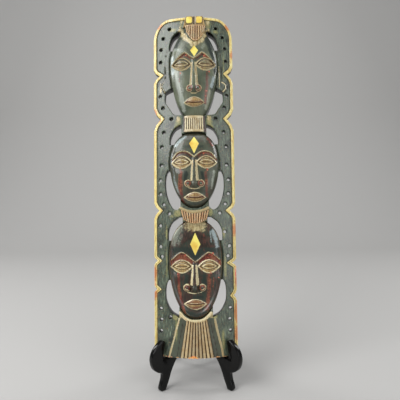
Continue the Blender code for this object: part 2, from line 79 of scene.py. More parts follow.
# Each mask's sheens are painted highlights on its facets (path, width, strength, how blue-white) and its shades are
# painted shade (path, width, strength)
masks = {
    "upper": {
        "centre": 1.2, "bottom": 346.0, "top": 474.0, "widest": 430.0, "half": 35.4,
        "below": 90.0, "above": 58.0, "bendBelow": 2.0, "bendAbove": 1.65,
        "brow": ((0.0, 432.0), (4.0, 434.5), (9.0, 438.5), (13.0, 440.8), (18.0, 438.0), (24.0, 432.5),
                 (30.5, 425.5)),
        "eye": {"at": 17.8, "v": 423.5, "half": 14.6, "up": 9.6, "down": 9.4, "lidUp": 5.4, "lidDown": 4.8},
        "nose": {"shift": 0.3, "top": 431.0, "tip": 385.5, "base": 379.0, "wing": 10.8, "height": 6.6},
        "mouth": {"shift": 0.6, "v": 366.0, "half": 14.4, "up": 7.8, "down": 6.2},
        "diamond": {"shift": 1.2, "top": 451.5, "wide": 444.0, "bottom": 434.5, "half": 5.9},
        "crease": (347.0, 13.0, 405.0, 26.5),
                   "tone": 0.0, "line": 0.3, "lid": 0.5, "lip": 0.55, "underBrow": 0.45,
        "streaks": ((((20.0, 414.0), (19.0, 392.0), (16.5, 366.0)), 2.4, 0.72),
                    (((23.0, 410.0), (20.5, 384.0)), 1.2, 0.5),
                    (((-20.0, 413.0), (-21.0, 398.0)), 1.8, 0.5)),
        "sheens": ((((-26.5, 413.0), (-24.0, 396.0), (-19.0, 376.0), (-15.0, 356.0)), 3.8, 1.0, 0.35),
                   (((-31.5, 436.0), (-30.5, 412.0)), 3.2, 0.85, 0.8),
                   (((29.5, 404.0), (26.0, 390.0)), 2.4, 0.95, 1.0),
                   (((24.0, 384.0), (17.5, 358.0)), 2.4, 0.9, 0.1),
                   (((-27.5, 448.0), (-17.0, 444.0)), 3.6, 0.45, 0.5), (((13.0, 448.0), (16.5, 452.0)),
                   3.4, 0.4, 0.3),
                   (((27.0, 421.0), (30.0, 419.5)), 2.0, 0.8, 0.4), (((-5.0, 430.0), (-4.5, 402.0)),
                   1.0, 0.5, 0.6)),
        "shades": ((((24.0, 446.0), (31.5, 430.0), (32.5, 412.0)), 3.0, 1.0),
                   (((27.0, 450.0), (20.0, 464.0)), 6.5, 1.0), (((-26.0, 452.0), (-20.0, 464.0)), 5.0, 0.75),
                   (((-12.0, 450.0), (-5.0, 441.0)), 3.6, 0.45), (((6.0, 441.0), (12.0, 446.0)), 3.0, 0.45),
                   (((30.5, 396.0), (22.5, 372.0)), 1.2, 0.7), (((2.0, 428.0), (3.0, 396.0)), 1.0, 0.5)),
        "spots": ((-11.0, 438.0, 1.5), (15.5, 437.0, 2.6), (-19.5, 410.5, 1.7), (23.0, 412.0, 2.0),
                  (18.5, 383.0, 1.2), (17.0, 376.0, 0.9))},
    "middle": {
        "centre": 0.6, "bottom": 211.5, "top": 323.0, "widest": 274.0, "half": 35.9,
        "below": 63.0, "above": 50.0, "bendBelow": 1.9, "bendAbove": 2.4,
        "brow": ((0.0, 285.0), (4.0, 288.5), (9.5, 292.3), (16.5, 293.6), (24.5, 291.5), (31.5, 283.5)),
        "eye": {"at": 18.0, "v": 277.5, "half": 14.6, "up": 9.2, "down": 9.0, "lidUp": 4.8, "lidDown": 4.4},
        "nose": {"shift": 0.2, "top": 285.0, "tip": 245.5, "base": 238.5, "wing": 14.0, "height": 7.2},
        "mouth": {"shift": 0.6, "v": 226.5, "half": 15.0, "up": 7.0, "down": 5.8},
        "diamond": {"shift": 0.1, "top": 315.5, "wide": 305.0, "bottom": 290.0, "half": 7.1},
        "crease": None, "tone": 0.62, "line": 0.75, "lid": 0.7, "lip": 0.8, "underBrow": 0.4,
        "streaks": ((((-19.5, 264.0), (-20.5, 240.0), (-17.0, 220.0)), 3.6, 0.75),
                    (((16.5, 262.0), (17.5, 244.0), (18.0, 228.0)), 2.6, 0.6),
                    (((20.0, 314.0), (26.5, 303.0)), 3.0, 0.7)),
        "sheens": ((((-27.0, 303.0), (-20.0, 311.0), (-12.0, 316.5)), 3.2, 0.8, 0.9),
                   (((-30.5, 268.0), (-28.5, 250.0), (-22.0, 232.0)), 2.4, 0.55, 0.8),
                   (((28.5, 264.0), (25.0, 240.0)), 2.0, 0.85, 0.3), (((-33.0, 292.0), (-33.5, 276.0)),
                   2.0, 0.6, 0.9),
                   (((12.0, 312.0), (19.0, 305.0)), 3.0, 0.3, 0.2)),
        "shades": ((((-12.0, 262.0), (-13.0, 252.0)), 3.6, 0.8), (((11.0, 262.0), (13.0, 254.0)), 3.2, 0.8),
                   (((-12.0, 300.0), (12.0, 300.0)), 4.0, 0.5), (((-8.0, 217.0), (10.0, 217.0)), 3.0, 0.6)),
        "spots": ((-20.0, 267.5, 1.6), (19.0, 267.0, 1.8), (27.0, 303.0, 1.6), (14.0, 291.0, 1.5))},
    "lower": {
        "centre": 0.8, "bottom": 54.0, "top": 192.0, "widest": 135.0, "half": 38.4,
        "below": 82.0, "above": 60.0, "bendBelow": 2.0, "bendAbove": 2.4,
        "brow": ((0.0, 134.0), (6.0, 138.5), (12.0, 143.5), (18.5, 147.6), (25.0, 145.5), (34.5, 137.5)),
        "eye": {"at": 19.5, "v": 128.0, "half": 15.2, "up": 9.0, "down": 9.2, "lidUp": 4.8, "lidDown": 4.4},
        "nose": {"shift": -1.4, "top": 134.0, "tip": 97.0, "base": 89.5, "wing": 15.6, "height": 7.6},
        "mouth": {"shift": -0.6, "v": 75.0, "half": 15.2, "up": 6.4, "down": 7.6},
        "diamond": {"shift": -0.2, "top": 176.0, "wide": 159.5, "bottom": 143.5, "half": 7.3},
        "crease": None, "tone": 1.0, "line": 1.0, "lid": 1.0, "lip": 1.0, "underBrow": 1.0,
        "streaks": ((((-24.5, 119.0), (-24.0, 98.0), (-19.0, 72.0), (-16.0, 62.0)), 2.0, 1.0),
                    (((19.0, 116.0), (19.5, 96.0), (15.5, 68.0)), 3.4, 0.62),
                    (((26.0, 112.0), (24.5, 98.0)), 1.4, 0.6),
                    (((12.0, 172.0), (13.0, 152.0)), 4.0, 0.45), (((-8.0, 186.0), (4.0, 172.0)), 5.0, 0.35)),
        "sheens": ((((-32.0, 160.0), (-28.0, 174.0), (-20.0, 184.0)), 4.6, 0.85, 0.2),
                   (((25.0, 178.0), (29.5, 166.0), (31.5, 156.0)), 3.2, 0.75, 1.0),
                   (((21.5, 178.0), (23.0, 162.0)), 1.2, 0.6, 0.9),
                   (((-20.0, 172.0), (-24.0, 160.0)), 4.2, 0.45, 0.2),
                   (((-17.0, 66.0), (-10.0, 59.0)), 1.6, 0.35, 0.0)),
        "shades": ((((-30.0, 152.0), (-12.0, 152.0), (0.0, 142.5), (12.0, 152.0), (30.0, 151.0)), 4.4, 1.0),
                   (((-13.0, 114.0), (-14.0, 104.0)), 4.2, 0.9), (((12.0, 114.0), (13.0, 104.0)), 4.0, 0.9),
                   (((-3.0, 84.5), (9.0, 84.5)), 2.6, 0.8), (((-12.0, 63.0), (0.0, 60.0), (13.0, 63.0)),
                   3.0, 0.7)),
        "spots": ((-25.0, 118.0, 1.7), (22.0, 119.0, 1.8), (-14.5, 144.0, 1.5), (21.5, 144.5, 2.4),
                  (17.5, 141.0, 1.4), (33.0, 112.0, 1.2), (25.0, 146.5, 1.3))},
}
rim = {"w": 15.5, "crown": 31.5}     # a head's edge and its middle, above the back

openings = (
    ("upper", 18.0, ((18.6, 476.5), (22.5, 478.0), (29.4, 473.0), (33.6, 466.0), (36.3, 457.0),
    (36.5, 449.5))),
    ("upper", 17.4, ((17.4, 349.5), (30.0, 351.5), (35.4, 359.0), (39.9, 366.0), (43.2, 372.5),
                     (42.9, 384.0), (41.4, 387.0), (32.7, 391.5))),
    ("middle", 18.3, ((20.7, 334.5), (27.6, 330.5), (33.0, 322.5), (35.4, 314.5), (35.5, 306.0))),
    ("middle", 20.7, ((21.0, 214.0), (26.7, 209.5), (33.9, 214.0), (39.9, 227.0), (42.7, 240.0),
                      (43.1, 252.0), (42.0, 261.0), (39.3, 267.5))),
    ("lower", 18.0, ((23.1, 199.0), (32.4, 192.0), (36.9, 185.0), (39.3, 177.0), (39.6, 165.0))),
    ("lower", 24.0, ((24.0, 56.0), (26.4, 57.0), (33.6, 61.5), (39.0, 69.0), (42.9, 79.0),
                     (43.7, 91.0), (42.3, 102.0), (39.0, 108.5))),
)

ribbed = {
    "upperCollar": {"centre": 0.9, "bottom": 323.5, "top": 347.0, "halfBottom": 18.0, "halfTop": 17.2,
                    "taper": 1.0, "ribs": 9, "crown": 27.6, "bow": 4.5, "arcTop": 0.0, "arcBottom": 0.0,
                    "band": 0.15, "depth": 1.7, "flank": 0.80, "warm": 0.1, "pale": 0.95, "seed": 3},
    "lowerCollar": {"centre": 0.8, "bottom": 189.5, "top": 204.0, "halfBottom": 16.5, "halfTop": 21.0,
                    "taper": 0.7, "ribs": 11, "crown": 27.8, "bow": 5.0, "arcTop": 5.6, "arcBottom": 5.5,
                    "band": 0.04, "depth": 1.9, "flank": 1.0, "warm": 0.62, "pale": 0.6, "seed": 5},
    "crestShield": {"centre": 4.4, "bottom": 458.0, "top": 482.5, "halfBottom": 13.4, "halfTop": 15.2,
                    "taper": 1.0, "ribs": 11, "crown": 33.0, "bow": 3.0, "arcTop": 0.0, "arcBottom": 17.0,
                    "band": 0.08, "depth": 1.5, "flank": 1.0, "warm": 0.35, "pale": 0.25, "seed": 8},
    "beard": {"centre": 1.8, "bottom": 1.0, "top": 49.5, "halfBottom": 24.0, "halfTop": 15.0,
              "taper": 1.0, "ribs": 9, "crown": 27.4, "bow": 3.6, "arcTop": 4.0, "arcBottom": 0.0,
              "band": 0.0, "depth": 1.9, "flank": 1.0, "warm": 0.12, "pale": 0.35, "seed": 11,
              "chipped": 1.0, "chipAt": -0.22},
}


def toWorld(points):
    # millimetres on the board to metres in the frame; the board stands on its back bottom edge
    low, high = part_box("plaque")
    u, v, w = (points[:, 0] * 0.001, points[:, 1] * 0.001, points[:, 2] * 0.001)
    sinLean, cosLean = math.sin(board["lean"]), math.cos(board["lean"])
    backEdge = high[1] - 0.001 * board["topEdge"] * sinLean
    return np.stack([u, backEdge + v * sinLean - w * cosLean, low[2] + v * cosLean + w * sinLean], axis=1)


def boardFront(u):
    return board["edge"] + board["crown"] * (1.0 - np.minimum(1.0, (u / halfWidth) ** 2))


def smoothStep(low, high, value):
    share = np.clip((value - low) / (high - low), 0.0, 1.0)
    return share * share * (3.0 - 2.0 * share)


def ridge(value, width):
    return np.exp(-(value / width) ** 2)


def smoothPath(points, steps):
    ends = [points[0]] + list(points) + [points[-1]]
    path = []
    for index in range(1, len(ends) - 2):
        before, start, stop, after = (np.array(p) for p in ends[index - 1:index + 3])
        for step in range(steps):
            t = step / steps
            path.append(0.5 * (2 * start + (stop - before) * t
                               + (2 * before - 5 * start + 4 * stop - after) * t * t
                               + (3 * start - before - 3 * stop + after) * t ** 3))
    path.append(np.array(points[-1], dtype=float))
    return np.array(path)


def pathDistance(u, v, path, closed=False):
    # shortest distance from each point to a line of points
    path = np.asarray(path, dtype=float)
    starts = path if closed else path[:-1]
    stops = np.roll(path, -1, axis=0) if closed else path[1:]
    best = np.full(u.shape, 1e9)
    for (ax, ay), (bx, by) in zip(starts, stops):
        dx, dy = bx - ax, by - ay
        share = np.clip(((u - ax) * dx + (v - ay) * dy) / (dx * dx + dy * dy + 1e-12), 0.0, 1.0)
        best = np.minimum(best, (u - ax - share * dx) ** 2 + (v - ay - share * dy) ** 2)
    return np.sqrt(best)


def insideLoop(u, v, loop):
    inside = np.zeros(u.shape, dtype=bool)
    for (ax, ay), (bx, by) in zip(loop, np.roll(loop, -1, axis=0)):
        if ay == by:
            continue
        crosses = (ay > v) != (by > v)
        inside ^= crosses & (u < (bx - ax) * (v - ay) / (by - ay) + ax)
    return inside


def evenly(loop, spacing):
    # a closed loop with points about spacing apart, corners kept
    points = []
    loop = loop[np.linalg.norm(loop - np.roll(loop, -1, axis=0), axis=1) > 0.15]
    for start, stop in zip(loop, np.roll(loop, -1, axis=0)):
        count = max(1, int(round(np.linalg.norm(stop - start) / spacing)))
        for step in range(count):
            points.append(start + (stop - start) * step / count)
    return np.array(points)


def headHalf(mask, v):
    low = v < mask["widest"]
    reach = np.where(low, mask["below"], mask["above"])
    bend = np.where(low, mask["bendBelow"], mask["bendAbove"])
    share = np.clip(np.abs(v - mask["widest"]) / reach, 0.0, 1.0)
    return mask["half"] * (1.0 - share ** bend) ** (1.0 / bend)


def outlineLoop():
    loop = []
    for side in (1, -1):
        edge = [(halfWidth, 0.0)]
        for height, depth, half in reversed(notches[side]):
            edge += [(halfWidth, height - half), (halfWidth - 0.35 * depth, height - 0.45 * half),
                     (halfWidth - depth, height), (halfWidth - 0.35 * depth, height + 0.45 * half),
                     (halfWidth, height + half)]
        for step in range(15):
            angle = math.pi / 2.0 * step / 14.0
            edge.append((halfWidth - board["cornerAcross"] * (1.0 - math.cos(angle)),
                         board["topEdge"] - board["cornerUp"] * (1.0 - math.sin(angle))))
        placed = [(side * u, v) for u, v in edge]
        loop += placed if side > 0 else placed[::-1]
    return np.array(loop)


def openingLoops():
    loops = []
    for name, neck, outer in openings:
        mask = masks[name]
        path = smoothPath(outer, 6)
        first, last = path[0][1], path[-1][1]
        heights = np.linspace(last, first, 26)
        inner = np.stack([np.maximum(headHalf(mask, heights), neck), heights], axis=1)
        inner = inner[inner[:, 0] < path[-1][0] - 0.6]
        whole = np.concatenate([path, inner])
        for side in (-1, 1):
            loops.append(np.stack([mask["centre"] + side * whole[:, 0], whole[:, 1]], axis=1))
    return loops


def holeLoops():
    angles = np.linspace(0.0, 2.0 * math.pi, 14, endpoint=False)
    ring = np.stack([np.cos(angles), np.sin(angles)], axis=1) * holeRadius
    centres = [(side * u, v) for u, v in holePairs for side in (-1, 1)] + list(holeSingles)
    return [ring + np.array(centre) for centre in centres]


def almond(across, rise, half, up, down):
    # 0 at the middle, 1 on a pointed oval's outline, and nested ovals between
    height = np.where(rise > 0.0, up, down)
    return (np.abs(rise) + np.sqrt(rise ** 2 + 4.0 * height ** 2 * (across / half) ** 2)) / (2.0 * height)


def softMax(a, b, blend):
    return 0.5 * (a + b + np.sqrt((a - b) ** 2 + blend * blend))


def domeHeight(mask, x, v):
    # smooth egg shape of a head, and how near its edge a point is
    low = v < mask["widest"]
    reach = np.where(low, mask["below"], mask["above"])
    bend = np.where(low, mask["bendBelow"], mask["bendAbove"])
    q = ((np.abs(x) / mask["half"]) ** bend + (np.abs(v - mask["widest"]) / reach) ** bend) ** (1.0 / bend)
    return rim["w"] + (rim["crown"] - rim["w"]) * np.sqrt(np.clip(1.0 - q ** 3.2, 0.0, 1.0)), q


def knifeFacets(mask, x, v):
    # flat cuts of the gouge: the lowest of many planes laid on the egg shape
    rng = np.random.default_rng(int(mask["widest"]))
    best = np.full(x.shape, 1e9)
    for row, height in enumerate(np.linspace(mask["bottom"] + 8.0, mask["top"] - 8.0, 8)):
        shares = (-0.86, -0.52, -0.16, 0.2, 0.55, 0.88) if row % 2 else (-0.9, -0.66, -0.33, 0.0, 0.36, 0.68, 0.9)
        for share in shares:
            cx = np.array([(share + rng.uniform(-0.06, 0.06)) * headHalf(mask, np.array([height]))[0]])
            cv = np.array([height + rng.uniform(-4.0, 4.0)])
            middle = domeHeight(mask, cx, cv)[0][0]
            slopeX = (domeHeight(mask, cx + 0.2, cv)[0][0] - domeHeight(mask, cx - 0.2, cv)[0][0]) / 0.4
            slopeV = (domeHeight(mask, cx, cv + 0.2)[0][0] - domeHeight(mask, cx, cv - 0.2)[0][0]) / 0.4
            best = np.minimum(best, middle + slopeX * (x - cx[0]) + slopeV * (v - cv[0]))
    return best


def carveMask(mask, u, v, paint):
    # height of one mask, and where its paint runs: distances in millimetres, negative on the paint
    x = u - mask["centre"]
    side = np.abs(x)
    inside = (side < headHalf(mask, v) + 0.2) & (v > mask["bottom"]) & (v < mask["top"])
    dome, q = domeHeight(mask, x, v)
    cuts = np.minimum(knifeFacets(mask, x, v), rim["crown"] + 0.3)
    height = np.where(q < 0.97, dome + 0.55 * (cuts - dome) * smoothStep(0.97, 0.85, q), dome)
    if mask["crease"]:
        lowV, lowX, highV, highX = mask["crease"]
        creaseAt = np.minimum(lowX + (v - lowV) * (highX - lowX) / (highV - lowV), 33.0)
        height = -softMax(-height, -(31.0 - 1.55 * (side - creaseAt)), 0.8)

    # Brow: the forehead stands proud of the eye sockets
    path = smoothPath(mask["brow"], 5)
    browAt = np.interp(side, path[:, 0], path[:, 1])
    eye = mask["eye"]
    browEnd = mask["brow"][-1][0]
    fadeOut = 1.0 - smoothStep(browEnd - 1.0, browEnd + 4.0, side)
    below = smoothStep(-0.4, 1.4, browAt - v) * smoothStep(eye["v"] - eye["down"] - 9.0, eye["v"], v)
    height = height - 2.6 * below * fadeOut
    browLine = np.minimum(pathDistance(x, v, path), pathDistance(-x, v, path))
    height = height + 0.7 * ridge(browLine, 1.0)

    # Eyes: a bulging lid, an inner pointed oval and a closed slit
    rise = v - eye["v"]
    ring = almond(side - eye["at"], rise, eye["half"], eye["up"], eye["down"])
    lid = almond(side - eye["at"], rise, eye["half"] * 0.86, eye["lidUp"], eye["lidDown"])
    lidEdge = (lid - 1.0) * eye["lidUp"]
    height = height + 2.7 * np.sqrt(np.clip(1.0 - ring ** 2, 0.0, 1.0)) + 0.8 * ridge((ring - 1.0) * 9.0, 0.8)
    height = height - 0.8 * ridge((ring - 0.83) * 9.0, 0.7) - 0.6 * ridge(lidEdge, 0.5)
    height = height + 0.6 * np.sqrt(np.clip(1.0 - lid ** 2, 0.0, 1.0)) + 0.35 * ridge(lidEdge + 1.4, 0.5)
    slit = ridge(rise + 0.2, 0.6) * (lid < 0.62)
    height = height - 1.0 * slit

    # Nose: a bridge with sloping sides, a round tip and two nostril wings
    nose = mask["nose"]
    nx = np.abs(x - nose["shift"])
    along = np.clip((nose["top"] - v) / (nose["top"] - nose["tip"]), 0.0, 1.0)
    ridgeHalf, slope = 1.2 + 1.5 * along, 2.0 + 2.1 * along
    bridge = (1.4 + (nose["height"] - 1.4) * along) * np.clip(1.0 - (nx - ridgeHalf) / slope, 0.0, 1.0)
    bridge = bridge * smoothStep(nose["top"] + 4.0, nose["top"] - 3.0, v)
    bridge = bridge * smoothStep(nose["base"] - 0.5, nose["tip"] - 0.5, v)
    tip = ((x - nose["shift"]) / 5.4) ** 2 + ((v - nose["tip"] - 0.3) / 5.9) ** 2
    bulb = (nose["height"] + 0.5) * np.sqrt(np.clip(1.0 - tip, 0.0, 1.0))
    wingAt = nose["wing"] - 4.7
    wing = ((nx - wingAt) / 4.9) ** 2 + ((v - nose["tip"] - 1.0) / 4.9) ** 2
    wingEdge = (np.sqrt(wing) - 1.0) * 4.9
    nostril = (nose["height"] - 2.4) * np.clip(1.0 - wing, 0.0, 1.0) ** 0.45 - 1.2 * ridge(wingEdge + 2.6, 0.9)
    raised = softMax(softMax(bridge, bulb, 0.6), nostril, 0.6) - 0.3
    height = height + np.maximum(raised, 0.0)

    # Mouth
    mouth = mask["mouth"]
    mx = x - mouth["shift"]
    lips = almond(mx, v - mouth["v"], mouth["half"], mouth["up"], mouth["down"])
    lipEdge = (lips - 1.0) * mouth["up"]
    parting = v - mouth["v"] + 0.6 * np.cos(np.clip(mx / mouth["half"], -1.0, 1.0) * math.pi)
    height = height + 2.6 * np.clip(1.0 - lips ** 2, 0.0, 1.0) ** 0.6 + 0.5 * ridge(lipEdge, 0.7)
    height = height - 1.7 * ridge(parting, 0.7) * (lips < 0.93)

    gem = mask["diamond"]
    gx = np.abs(x - gem["shift"])
    span = np.where(v > gem["wide"], gem["top"] - gem["wide"], gem["wide"] - gem["bottom"])
    gemEdge = (gx / gem["half"] + np.abs(v - gem["wide"]) / span - 1.0) * gem["half"] * 0.85
    height = height - 0.35 * smoothStep(0.5, -0.3, gemEdge)

    lines = np.minimum(np.abs(ring - 1.0) * 9.0 - 0.72, np.abs(lidEdge + 1.2) - 0.42)
    lines = np.minimum(lines, browLine - 0.62)
    flank = np.abs(nx - ridgeHalf - slope / 2.0) - slope / 2.0 + 0.3 - 0.35 * (x > nose["shift"])
    flank = np.maximum(flank, np.maximum(v - nose["top"] + 4.0, nose["tip"] + 4.5 - v))
    lines = np.minimum(lines, flank)
    lines = np.minimum(lines, np.maximum(np.abs(wingEdge) - 0.62, wingAt - 3.0 - nx))
    under = smoothPath(((0.0, nose["base"] + 0.3), (3.6, nose["base"] + 0.7), (wingAt - 1.0, nose["base"] + 2.0)), 4)
    lines = np.minimum(lines, pathDistance(nx, v, under) - 0.6)
    hook = np.abs(wingEdge + 2.3) + 3.0 * (v > nose["tip"] + 0.6) + 3.0 * (nx < wingAt - 1.5)
    lines = np.minimum(lines, hook - 0.45)
    lines = np.minimum(lines, np.abs(lipEdge) - 0.6)
    lines = np.minimum(lines, np.maximum(np.abs(parting - 1.4) - 0.42, (lips - 0.8) * 6.0))
    dark = np.maximum(ridge((ring - 0.83) * 9.0, 0.6) * (rise > -2.0), ridge(lidEdge + 0.1, 0.45))
    dark = np.maximum(dark, np.maximum(slit, ridge(parting, 0.6) * (lips < 0.9)))
    dark = np.maximum(dark, 0.7 * ridge(wingEdge - 0.9, 0.6) * (v < nose["tip"]))
    eyeTan = mask["lid"] * smoothStep(0.97, 0.93, ring) * np.where(rise > 1.0, 0.75, 1.0)
    lipTan = 0.75 * (lips < 0.86) * (parting < -0.8) * (parting > -2.6) * mask["lip"]
    lipTan = np.maximum(lipTan, 0.85 * (1.0 - 0.5 * mask["tone"]) * (lips < 0.86) * (np.abs(parting - 1.0) > 1.2))
    red = ridge(wingEdge + 1.6, 1.3) * (wing < 1.0) + (lips < 0.93) * (0.45 + 0.5 * mask["lip"])
    underBrow = smoothStep(0.2, 1.2, browAt - v) * (ring > 1.06) * smoothStep(3.0, 6.0, side) * (rise > 1.0)
    red = red + mask["underBrow"] * underBrow * fadeOut + 0.6 * ridge(browLine - 1.6, 0.8) * (v < browAt)
    for points, width, strength in mask["streaks"]:
        streak = pathDistance(x, v, points)
        red = np.maximum(red, strength * ridge(streak, width))
    # painted highlights along the sheens, each with how blue-white it is, and painted shade along the shades
    sheen, sheenBlue, shade = np.zeros(u.shape), np.zeros(u.shape), np.zeros(u.shape)
    for points, width, strength, cool in mask["sheens"]:
        light = strength * ridge(pathDistance(x, v, points), width)
        sheenBlue = np.where(light > sheen, cool, sheenBlue)
        sheen = np.maximum(sheen, light)
    for points, width, strength in mask["shades"]:
        shade = np.maximum(shade, strength * ridge(pathDistance(x, v, points), width))
    proud = (ring > 1.02) & (lips > 1.05) & (raised < 0.4)
    spots = np.zeros(u.shape)
    for spotX, spotV, size in mask["spots"]:
        spots = np.maximum(spots, ridge(np.hypot(x - spotX, v - spotV), size))
    edge = 0.42 * ridge((1.0 - q) * mask["half"] - 1.0, 0.8) * mask["tone"]

    def put(name, values, lowest=False):
        paint[name] = np.where(inside, np.minimum(paint[name], values) if lowest else values, paint[name])

    put("cream", lines, True)
    put("yellow", gemEdge, True)
    put("face", np.ones(u.shape))
    put("tone", np.full(u.shape, mask["tone"]))
    put("line", np.full(u.shape, mask["line"]))
    put("tan", np.maximum(np.maximum(eyeTan, lipTan), edge))
    put("red", np.clip(red, 0.0, 1.0))
    put("spot", spots)
    put("dark", dark)
    # painted highlight, its blue-white share, and painted shade, only on the proud parts of the face
    put("sheen", np.where(proud, sheen, 0.0))
    put("sheenBlue", sheenBlue)
    put("shade", np.where(proud, shade, 0.0))
    return inside, height


trim = {
    # (side lines, half width, share of tan in the cream)
    "creamBands": ((((-21.0, 212.6), (-12.0, 208.0), (-2.0, 206.2), (10.0, 207.6), (20.0, 211.8)), 1.8, 0.75),
                   (((-22.5, 62.5), (-13.5, 54.2), (-3.0, 51.2), (7.0, 51.6), (13.5, 54.2), (22.5, 62.0)),
                   2.0, 0.15),
                   (((-23.2, 54.0), (-30.5, 28.0), (-38.4, 0.0)), 1.3, 0.45),
                   (((27.6, 53.0), (31.0, 36.0), (36.0, 16.0), (38.8, 0.0)), 1.5, 0.8),
                   (((43.0, 400.5), (47.4, 398.0), (49.0, 392.5), (44.4, 386.0)), 0.9, 0.2),
                   (((-42.4, 402.5), (-46.2, 399.5), (-46.6, 394.0), (-42.0, 385.5)), 0.5, 0.6),
                   (((38.6, 424.0), (39.4, 408.0), (39.2, 392.0)), 0.5, 0.4)),
    "grooves": (((-37.5, 452.0), (-40.6, 440.0), (-41.6, 424.0), (-42.0, 406.0), (-47.6, 399.5),
                (-47.8, 393.0),
                 (-43.0, 384.5)),
                ((38.5, 452.0), (41.4, 440.0), (42.4, 424.0), (43.0, 405.0), (48.8, 399.5), (50.4, 392.0),
                 (45.8, 384.5)),
                ((-17.5, 50.0), (-27.0, 1.0)), ((21.0, 50.0), (30.5, 1.0))),
    "olive": ((-21.5, 339.0, 5.5, 9.5), (23.5, 338.0, 6.0, 9.5), (-24.5, 204.0, 8.0, 7.5),
              (23.5, 206.0, 5.0, 7.5),
              (-17.0, 489.0, 4.0, 9.0), (23.5, 487.0, 5.5, 10.0), (-28.5, 56.5, 5.0, 5.5),
              (27.5, 57.0, 5.0, 4.5),
              (39.0, 24.0, 3.2, 20.0), (-41.0, 130.0, 1.6, 34.0), (43.5, 128.0, 2.6, 24.0),
              (-27.5, 38.0, 2.2, 16.0), (42.5, 176.0, 3.0, 12.0), (-41.0, 176.0, 1.4, 16.0),
              (-24.0, 332.0, 5.0, 7.0), (26.0, 331.0, 5.0, 7.0), (34.0, 478.0, 6.0, 4.0),
              (-30.0, 481.0, 8.0, 4.0),
              (46.0, 424.0, 2.0, 30.0), (-33.0, 200.0, 5.0, 4.0)),
    "beige": ((0.5, 187.0, 19.5, 11.0), (-16.5, 493.0, 3.6, 5.5), (22.5, 491.0, 3.6, 6.5),
              (-49.0, 391.0, 2.0, 9.0),
              (-21.0, 60.0, 4.2, 5.0), (21.5, 60.0, 4.2, 5.0), (-22.5, 344.0, 3.0, 5.0),
              (23.0, 344.0, 3.0, 5.0),
              (-18.5, 483.0, 2.2, 5.0), (24.0, 480.0, 2.2, 5.0)),
    "chips": ((-48.0, 2.0, 3.0, 2.4), (-43.0, 1.2, 1.6, 1.6), (-39.5, 1.4, 1.4, 1.4), (-35.0, 0.8, 1.8, 1.4),
              (-26.0, 0.6, 3.0, 1.0), (24.0, 0.6, 4.0, 1.0), (31.0, 0.8, 4.0, 1.4), (42.0, 0.6, 4.0, 1.0),
              (58.5, 118.0, 1.6, 14.0), (-58.5, 103.0, 1.5, 6.0), (-57.5, 357.0, 2.2, 3.6)),
    "warmRim": ((-59.0, 355.0, 6.0, 12.0), (-59.0, 118.0, 4.0, 16.0), (-59.0, 88.0, 5.0, 9.0),
                (60.0, 60.0, 6.5, 26.0), (60.0, 106.0, 4.0, 14.0), (58.0, 180.0, 5.0, 14.0),
                (54.0, 488.0, 8.0, 8.0), (-52.0, 345.0, 6.0, 4.0),
                (-51.0, 490.0, 8.0, 6.0), (59.0, 446.0, 4.0, 10.0), (59.0, 32.0, 5.0, 16.0)),
}


def blobs(u, v, places):
    share = np.zeros(u.shape)
    for placeU, placeV, across, up in places:
        share = np.maximum(share, ridge(np.hypot((u - placeU) / across, (v - placeV) / up), 1.0))
    return share


